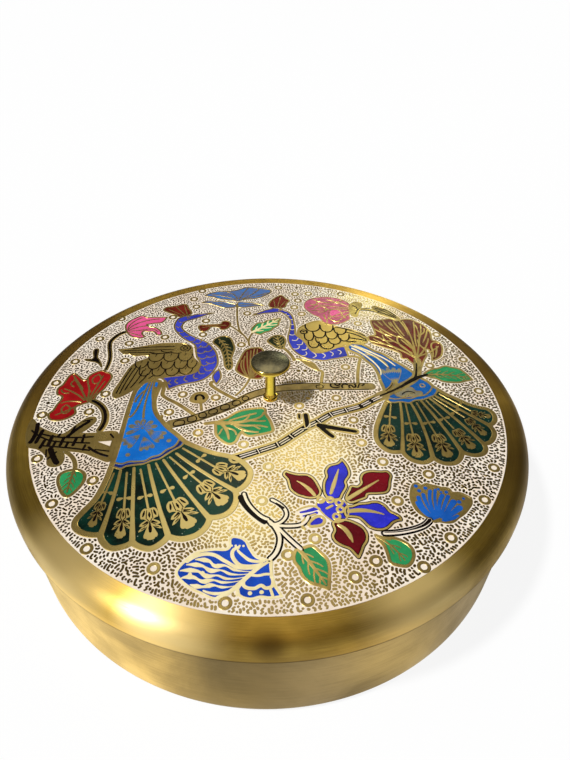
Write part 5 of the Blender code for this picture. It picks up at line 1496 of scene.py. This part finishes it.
def inlayLines(name, items, material):
    curve = bpy.data.curves.new(name + "_ways", "CURVE")
    curve.dimensions = "3D"
    for index, (path, widths, level, closed) in enumerate(items):
        spline = curve.splines.new("POLY")
        spline.points.add(len(path) - 1)
        # Each line is a hair higher than the last and rises a little, so that no two tops coincide
        rising = np.linspace(0, 0 if closed else 0.004, len(path))
        heights = lid["top"] + lineRise + levelStep * level + 0.0009 * (index % 23) + rising
        spline.points.foreach_set("co", (np.column_stack([path, heights,
            np.full(len(path), 1000.0)]) * mm).ravel())
        spline.points.foreach_set("radius", np.asarray(widths, float) * mm)
        spline.use_cyclic_u = closed
    way = bpy.data.objects.new(name + "_ways", curve)
    scene.collection.objects.link(way)
    piece = meshObject(name, [], [], material)
    grown(piece, inlay, {"Ways": way, "Relief": 0.06 * mm, "Top share": 0.8, "Finish": material})
    bpy.data.objects.remove(way, do_unlink=True)
    highest = max(piece.data.polygons, key=lambda polygon: polygon.center.z)
    if highest.normal.z < 0:
        piece.data.flip_normals()
    piece.data.shade_smooth()
    piece.data.set_sharp_from_angle(angle=math.radians(12))
    return piece


# White enamel ground, let into the lid and flush with its border
panel = {"bore": 1.8, "radius": 91.05, "edge": 0.06, "under": 46.32}
section = [(radius, lid["top"]) for radius in (panel["bore"], 20, 45, 70, 90.97)]
section += [(panel["radius"], lid["top"] - panel["edge"]),
    (panel["radius"], panel["under"]), (panel["bore"], panel["under"])]
ground = turned("enamel_ground", section, 288, groundWhite, closed=True)
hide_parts("enamel_panel")
artPieces = [ground]
fields = {"brassField": figureBrass, "paleField": paleBrass, "white": groundWhite, "trainField": trainBrass,
    "branchField": branchBrass}
for colour, items in sorted(plates.items()):
    material = fields.get(colour) or enamels[colour]
    artPieces.append(joinedPlates("cells_" + colour, items, material))
for kind, material in (("brass", figureBrass), ("dark", darkEnamel), ("pale", paleBrass),
        ("white", groundWhite)):
    artPieces.append(inlayLines("lines_" + kind, lines[kind], material))
print("drawing made,", sum(len(piece.data.polygons) for piece in artPieces), "faces")

# Ground pattern: short brass strokes that fill the white, tried one by one on a fine grid of what is free
cell, gridHalf, rimGap, footRadius = 0.1, 93.0, 0.78, 3.6
cellsAcross = int(2 * gridHalf / cell)
blocked = np.zeros((cellsAcross, cellsAcross), bool)
ys, xs = np.mgrid[0:cellsAcross, 0:cellsAcross] * cell - gridHalf + cell / 2
blocked |= xs ** 2 + ys ** 2 > (panel["radius"] - rimGap) ** 2
blocked |= xs ** 2 + ys ** 2 < footRadius ** 2
discs = {}


def keepOff(path, reach):
    # Blocks the grid within reach of a path
    span = int(math.ceil(reach / cell))
    if reach not in discs:
        across = np.arange(-span, span + 1)
        discs[reach] = (across[:, None] ** 2 + across ** 2) * cell ** 2 <= reach ** 2
    disc = discs[reach]
    for x, y in path:
        row, column = int((y + gridHalf) / cell), int((x + gridHalf) / cell)
        top, left = max(row - span, 0), max(column - span, 0)
        window = blocked[top:row + span + 1, left:column + span + 1]
        down, over = top - row + span, left - column + span
        window |= disc[down:down + window.shape[0], over:over + window.shape[1]]


def keepOffInside(loop):
    # Blocks the grid inside a closed outline, row by row
    ahead = np.roll(loop, -1, 0)
    lowest, highest = ((loop[:, 1].min() + gridHalf) / cell), ((loop[:, 1].max() + gridHalf) / cell)
    for row in range(max(0, int(lowest)), min(cellsAcross, int(highest) + 1)):
        y = row * cell - gridHalf + cell / 2
        crossing = (loop[:, 1] <= y) != (ahead[:, 1] <= y)
        a, b = loop[crossing], ahead[crossing]
        xs = np.sort(a[:, 0] + (y - a[:, 1]) * (b[:, 0] - a[:, 0]) / (b[:, 1] - a[:, 1]))
        for left, right in zip(xs[::2], xs[1::2]):
            blocked[row, int((left + gridHalf) / cell):int((right + gridHalf) / cell) + 1] = True


# The stroke shapes: each is one or more short ways round its middle, in millimetres
strokeHalf, whiteGap = 0.31, 0.22


def shareAt(x, y):
    # From -1 at the back left, where most white shows, to 1 at the front right, where the strokes are broad
    return min(1, max(-1, (0.8 * x - 0.6 * y + 5) / 60))


def spacingAt(x, y):
    return round(0.86 + 0.05 * shareAt(x, y), 2)


strokeWays = {
    "a_dot": [[(-0.06, 0), (0.06, 0)]],
    "b_short": [[(-0.22, 0), (0.22, 0.02)]],
    "c_bar": [[(-0.45, -0.03), (0.02, 0.04), (0.45, -0.02)]],
    "d_comma": [[(-0.45, 0.14), (0, -0.08), (0.45, 0.12)]],
    "e_bar": [[(-0.7, 0.02), (0, -0.05), (0.7, 0.04)]],
    "f_hook": [[(-0.66, 0.02), (0.3, -0.06), (0.58, 0.1), (0.6, 0.45)]],
    "g_wave": [[(-0.66, 0.18), (-0.25, -0.15), (0.25, 0.15), (0.66, -0.16)]],
    "h_long": [[(-0.95, -0.05), (-0.2, 0.1), (0.4, 0.02), (0.95, -0.14)]],
    "i_wave": [[(-0.9, 0.2), (-0.3, -0.14), (0.3, 0.16), (0.9, -0.18)]],
    "j_fork": [[(-0.75, 0), (0, 0)], [(0, 0), (0.55, 0.5)], [(0, 0), (0.55, -0.5)]],
    "k_branch": [[(-0.85, -0.05), (0.85, 0.05)], [(0, 0), (0.25, 0.75)]],
    "l_star": [[(-0.7, 0), (0.7, 0)], [(-0.35, -0.6), (0.35, 0.6)], [(-0.35, 0.6), (0.35, -0.6)]],
    "m_hook": [[(-0.9, 0.05), (0, -0.06), (0.75, 0.02), (0.8, 0.5)]],
    "n_worm": [[(-1.3, 0.1), (-0.95, -0.1), (-0.55, -0.15), (0.05, 0.13), (0.6, -0.1), (1, -0.06),
        (1.3, 0.14)]],
    "o_bend": [[(-1, -0.35), (-0.2, -0.05), (0.5, 0.14), (0.82, 0.36), (0.95, 0.66)]],
}
strokeNames = sorted(strokeWays)
# Places in the sorted names; the longest ones stand twice so that they are drawn more often
dotKind, shortKind, barKinds, forkKinds = 0, 1, [2, 3], [9, 10, 11]
longKinds = [4, 5, 6, 7, 8, 12, 13, 13, 14, 14]
strokeSamples = []
for name in strokeNames:
    along = [smoothPath(way, step=0.16) for way in strokeWays[name]]
    strokeSamples.append(np.concatenate(along))
for path, closed, reach, filled in motifs:
    keepOff(path, round(reach + whiteGap + strokeHalf, 2))
    if filled:
        keepOffInside(path)
draws = np.random.default_rng(11)
strokes = []


def tryStroke(x, y, turn, kind):
    # Lays a stroke if all of it is free, and keeps later ones off it
    points = strokeSamples[kind]
    c, s = math.cos(turn), math.sin(turn)
    xs, ys = x + points[:, 0] * c - points[:, 1] * s, y + points[:, 0] * s + points[:, 1] * c
    rows, columns = ((ys + gridHalf) / cell).astype(int), ((xs + gridHalf) / cell).astype(int)
    if min(rows.min(), columns.min()) < 0 or max(rows.max(), columns.max()) >= cellsAcross:
        return False
    if blocked[rows, columns].any():
        return False
    keepOff(zip(xs, ys), spacingAt(x, y))
    strokes.append((x, y, turn, kind))
    return True


def reachOf(kind):
    # Half a stroke's length
    return np.ptp(strokeSamples[kind][:, 0]) / 2


# A comb along the rim, a halo round each ring and a row along each outline
rowPitch, combGap, haloRadius = 1.0, 0.86, 3.3
for angle in np.arange(0, math.tau, rowPitch / 89.0):
    kind = draws.choice([2, 3, 4, 6, 5, 12])
    radius = panel["radius"] - combGap - reachOf(kind)
    tryStroke(radius * math.cos(angle), radius * math.sin(angle), angle + draws.normal(0.2, 0.1), kind)
for x, y in rings:
    first = draws.uniform(0, 0.4)
    for angle in np.arange(first, first + math.tau - 0.2, math.tau / 16):
        haloX, haloY = x + haloRadius * math.cos(angle), y + haloRadius * math.sin(angle)
        tryStroke(haloX, haloY, angle + 0.12, draws.choice(barKinds))
for path, closed, reach, filled in motifs:
    gaps = np.linalg.norm(np.diff(path, axis=0), axis=1)
    travel = np.concatenate([[0], np.cumsum(gaps)])
    for along in np.arange(0.3, travel[-1], rowPitch):
        around = (along, along + 0.3, along - 0.3)
        xs, ys = np.interp(around, travel, path[:, 0]), np.interp(around, travel, path[:, 1])
        x, y = xs[0], ys[0]
        across = math.atan2(ys[1] - ys[2], xs[1] - xs[2]) + math.pi / 2
        for side in (-1, 1):
            kind = draws.choice([1, 2, 2, 3, 4])
            away = side * (reach + whiteGap + strokeHalf + 0.12 + reachOf(kind))
            turn = across + draws.normal(0.1, 0.14)
            tryStroke(x + away * math.cos(across), y + away * math.sin(across), turn, kind)
# The rest grows from these, stroke beside stroke, and short ones and dots close the gaps
index = 0
while index < len(strokes):
    x, y, turn, kind = strokes[index]
    index += 1
    for side in draws.permutation([-1, 1, -1, 1, -1, 1, -2, 2, -2, 2]):
        grow = int(draws.choice(forkKinds if draws.random() < 0.2 else longKinds))
        if abs(side) == 1:
            for shape in (grow, *draws.choice(longKinds, 4), draws.choice(barKinds), shortKind):
                away, slide = side * (spacingAt(x, y) + draws.uniform(0.02, 0.06)), draws.uniform(-0.7, 0.7)
                bend = draws.normal(0, 0.14) + (math.pi if draws.random() < 0.5 else 0)
                tryX = x - away * math.sin(turn) + slide * math.cos(turn)
                tryY = y + away * math.cos(turn) + slide * math.sin(turn)
                if tryStroke(tryX, tryY, turn + bend, int(shape)):
                    break
        else:
            bend = draws.normal(0, 0.25) + draws.choice([0, 0.8, -0.8, 1.57])
            away = (reachOf(kind) + spacingAt(x, y) + 0.04 + reachOf(grow) * abs(math.cos(bend))) * side / 2
            tryStroke(x + away * math.cos(turn), y + away * math.sin(turn), turn + bend, grow)
free = np.argwhere(~blocked)
for row, column in free[draws.permutation(len(free))]:
    if blocked[row, column]:
        continue
    x, y = (column + 0.5) * cell - gridHalf, (row + 0.5) * cell - gridHalf
    for grow in (draws.choice(longKinds), *draws.choice(barKinds, 3), shortKind, shortKind, dotKind):
        if tryStroke(x, y, draws.random() * math.tau, int(grow)):
            break
print("ground pattern placed,", len(strokes), "strokes")

# One scatter of the shapes over the ground
shapes = bpy.data.collections.new("stroke shapes")
for name in strokeNames:
    vertices, faces = [], []
    for k, way in enumerate(strokeWays[name]):
        found, sides = plateParts(strip(np.array(way), strokeHalf, 5), -0.02, 0.05 + 0.0014 * k, 0.03)
        faces += [[v + sum(map(len, vertices)) for v in face] for face in sides]
        vertices.append(found)
    shape = bpy.data.meshes.new(name)
    shape.from_pydata((np.concatenate(vertices) * mm).tolist(), [], faces)
    shapes.objects.link(bpy.data.objects.new(name, shape))

scatter, entry = newTree("ground strokes", [("Geometry", "NodeSocketGeometry"),
    ("Shapes", "NodeSocketCollection"), ("Finish", "NodeSocketMaterial")])
library = addNode(scatter, "GeometryNodeCollectionInfo", {"Collection": entry.outputs["Shapes"],
    "Separate Children": True, "Reset Children": True})
kinds = addNode(scatter, "GeometryNodeInputNamedAttribute", {"Name": "kind"}, data_type="INT")
turns, widths = (addNode(scatter, "GeometryNodeInputNamedAttribute", {"Name": label},
    data_type="FLOAT_VECTOR") for label in ("turn", "width"))
stamped = addNode(scatter, "GeometryNodeInstanceOnPoints", {
    "Points": entry.outputs["Geometry"],
    "Instance": library.outputs[0],
    "Pick Instance": True,
    "Instance Index": kinds.outputs["Attribute"],
    "Rotation": turns.outputs["Attribute"],
    "Scale": widths.outputs["Attribute"],
})
real = addNode(scatter, "GeometryNodeRealizeInstances", {"Geometry": stamped.outputs[0]})
dressed = addNode(scatter, "GeometryNodeSetMaterial", {"Geometry": real.outputs[0],
    "Material": entry.outputs["Finish"]})
addNode(scatter, "NodeGroupOutput", {"Geometry": dressed.outputs[0]})
layout = np.array(strokes)
sectors = np.floor((np.arctan2(layout[:, 1], layout[:, 0]) / math.tau + 0.5) * 5.999).astype(int)
for sector in range(6):
    mine = layout[sectors == sector]
    spots = np.column_stack([mine[:, :2], np.full(len(mine), lid["top"])])
    piece = meshObject(f"ground_strokes_{sector + 1}", spots, [], groundBrass)
    marks = piece.data.attributes
    marks.new("kind", "INT", "POINT").data.foreach_set("value", mine[:, 3].astype(int).tolist())
    turns = np.column_stack([np.zeros(len(mine)), np.zeros(len(mine)), mine[:, 2]])
    marks.new("turn", "FLOAT_VECTOR", "POINT").data.foreach_set("vector", turns.ravel())
    widths = [(1.06, 1.12 + 0.24 * shareAt(x, y), 1) for x, y in mine[:, :2]]
    marks.new("width", "FLOAT_VECTOR", "POINT").data.foreach_set("vector", np.ravel(widths))
    grown(piece, scatter, {"Shapes": shapes, "Finish": groundBrass})
    artPieces.append(piece)
    print(piece.name, len(piece.data.polygons), "faces")
for shape in list(shapes.objects):
    bpy.data.objects.remove(shape, do_unlink=True)
bpy.data.collections.remove(shapes)
for piece in artPieces:
    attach(piece, "lid")
print("lid dressed,", sum(len(piece.data.polygons) for piece in artPieces), "faces")
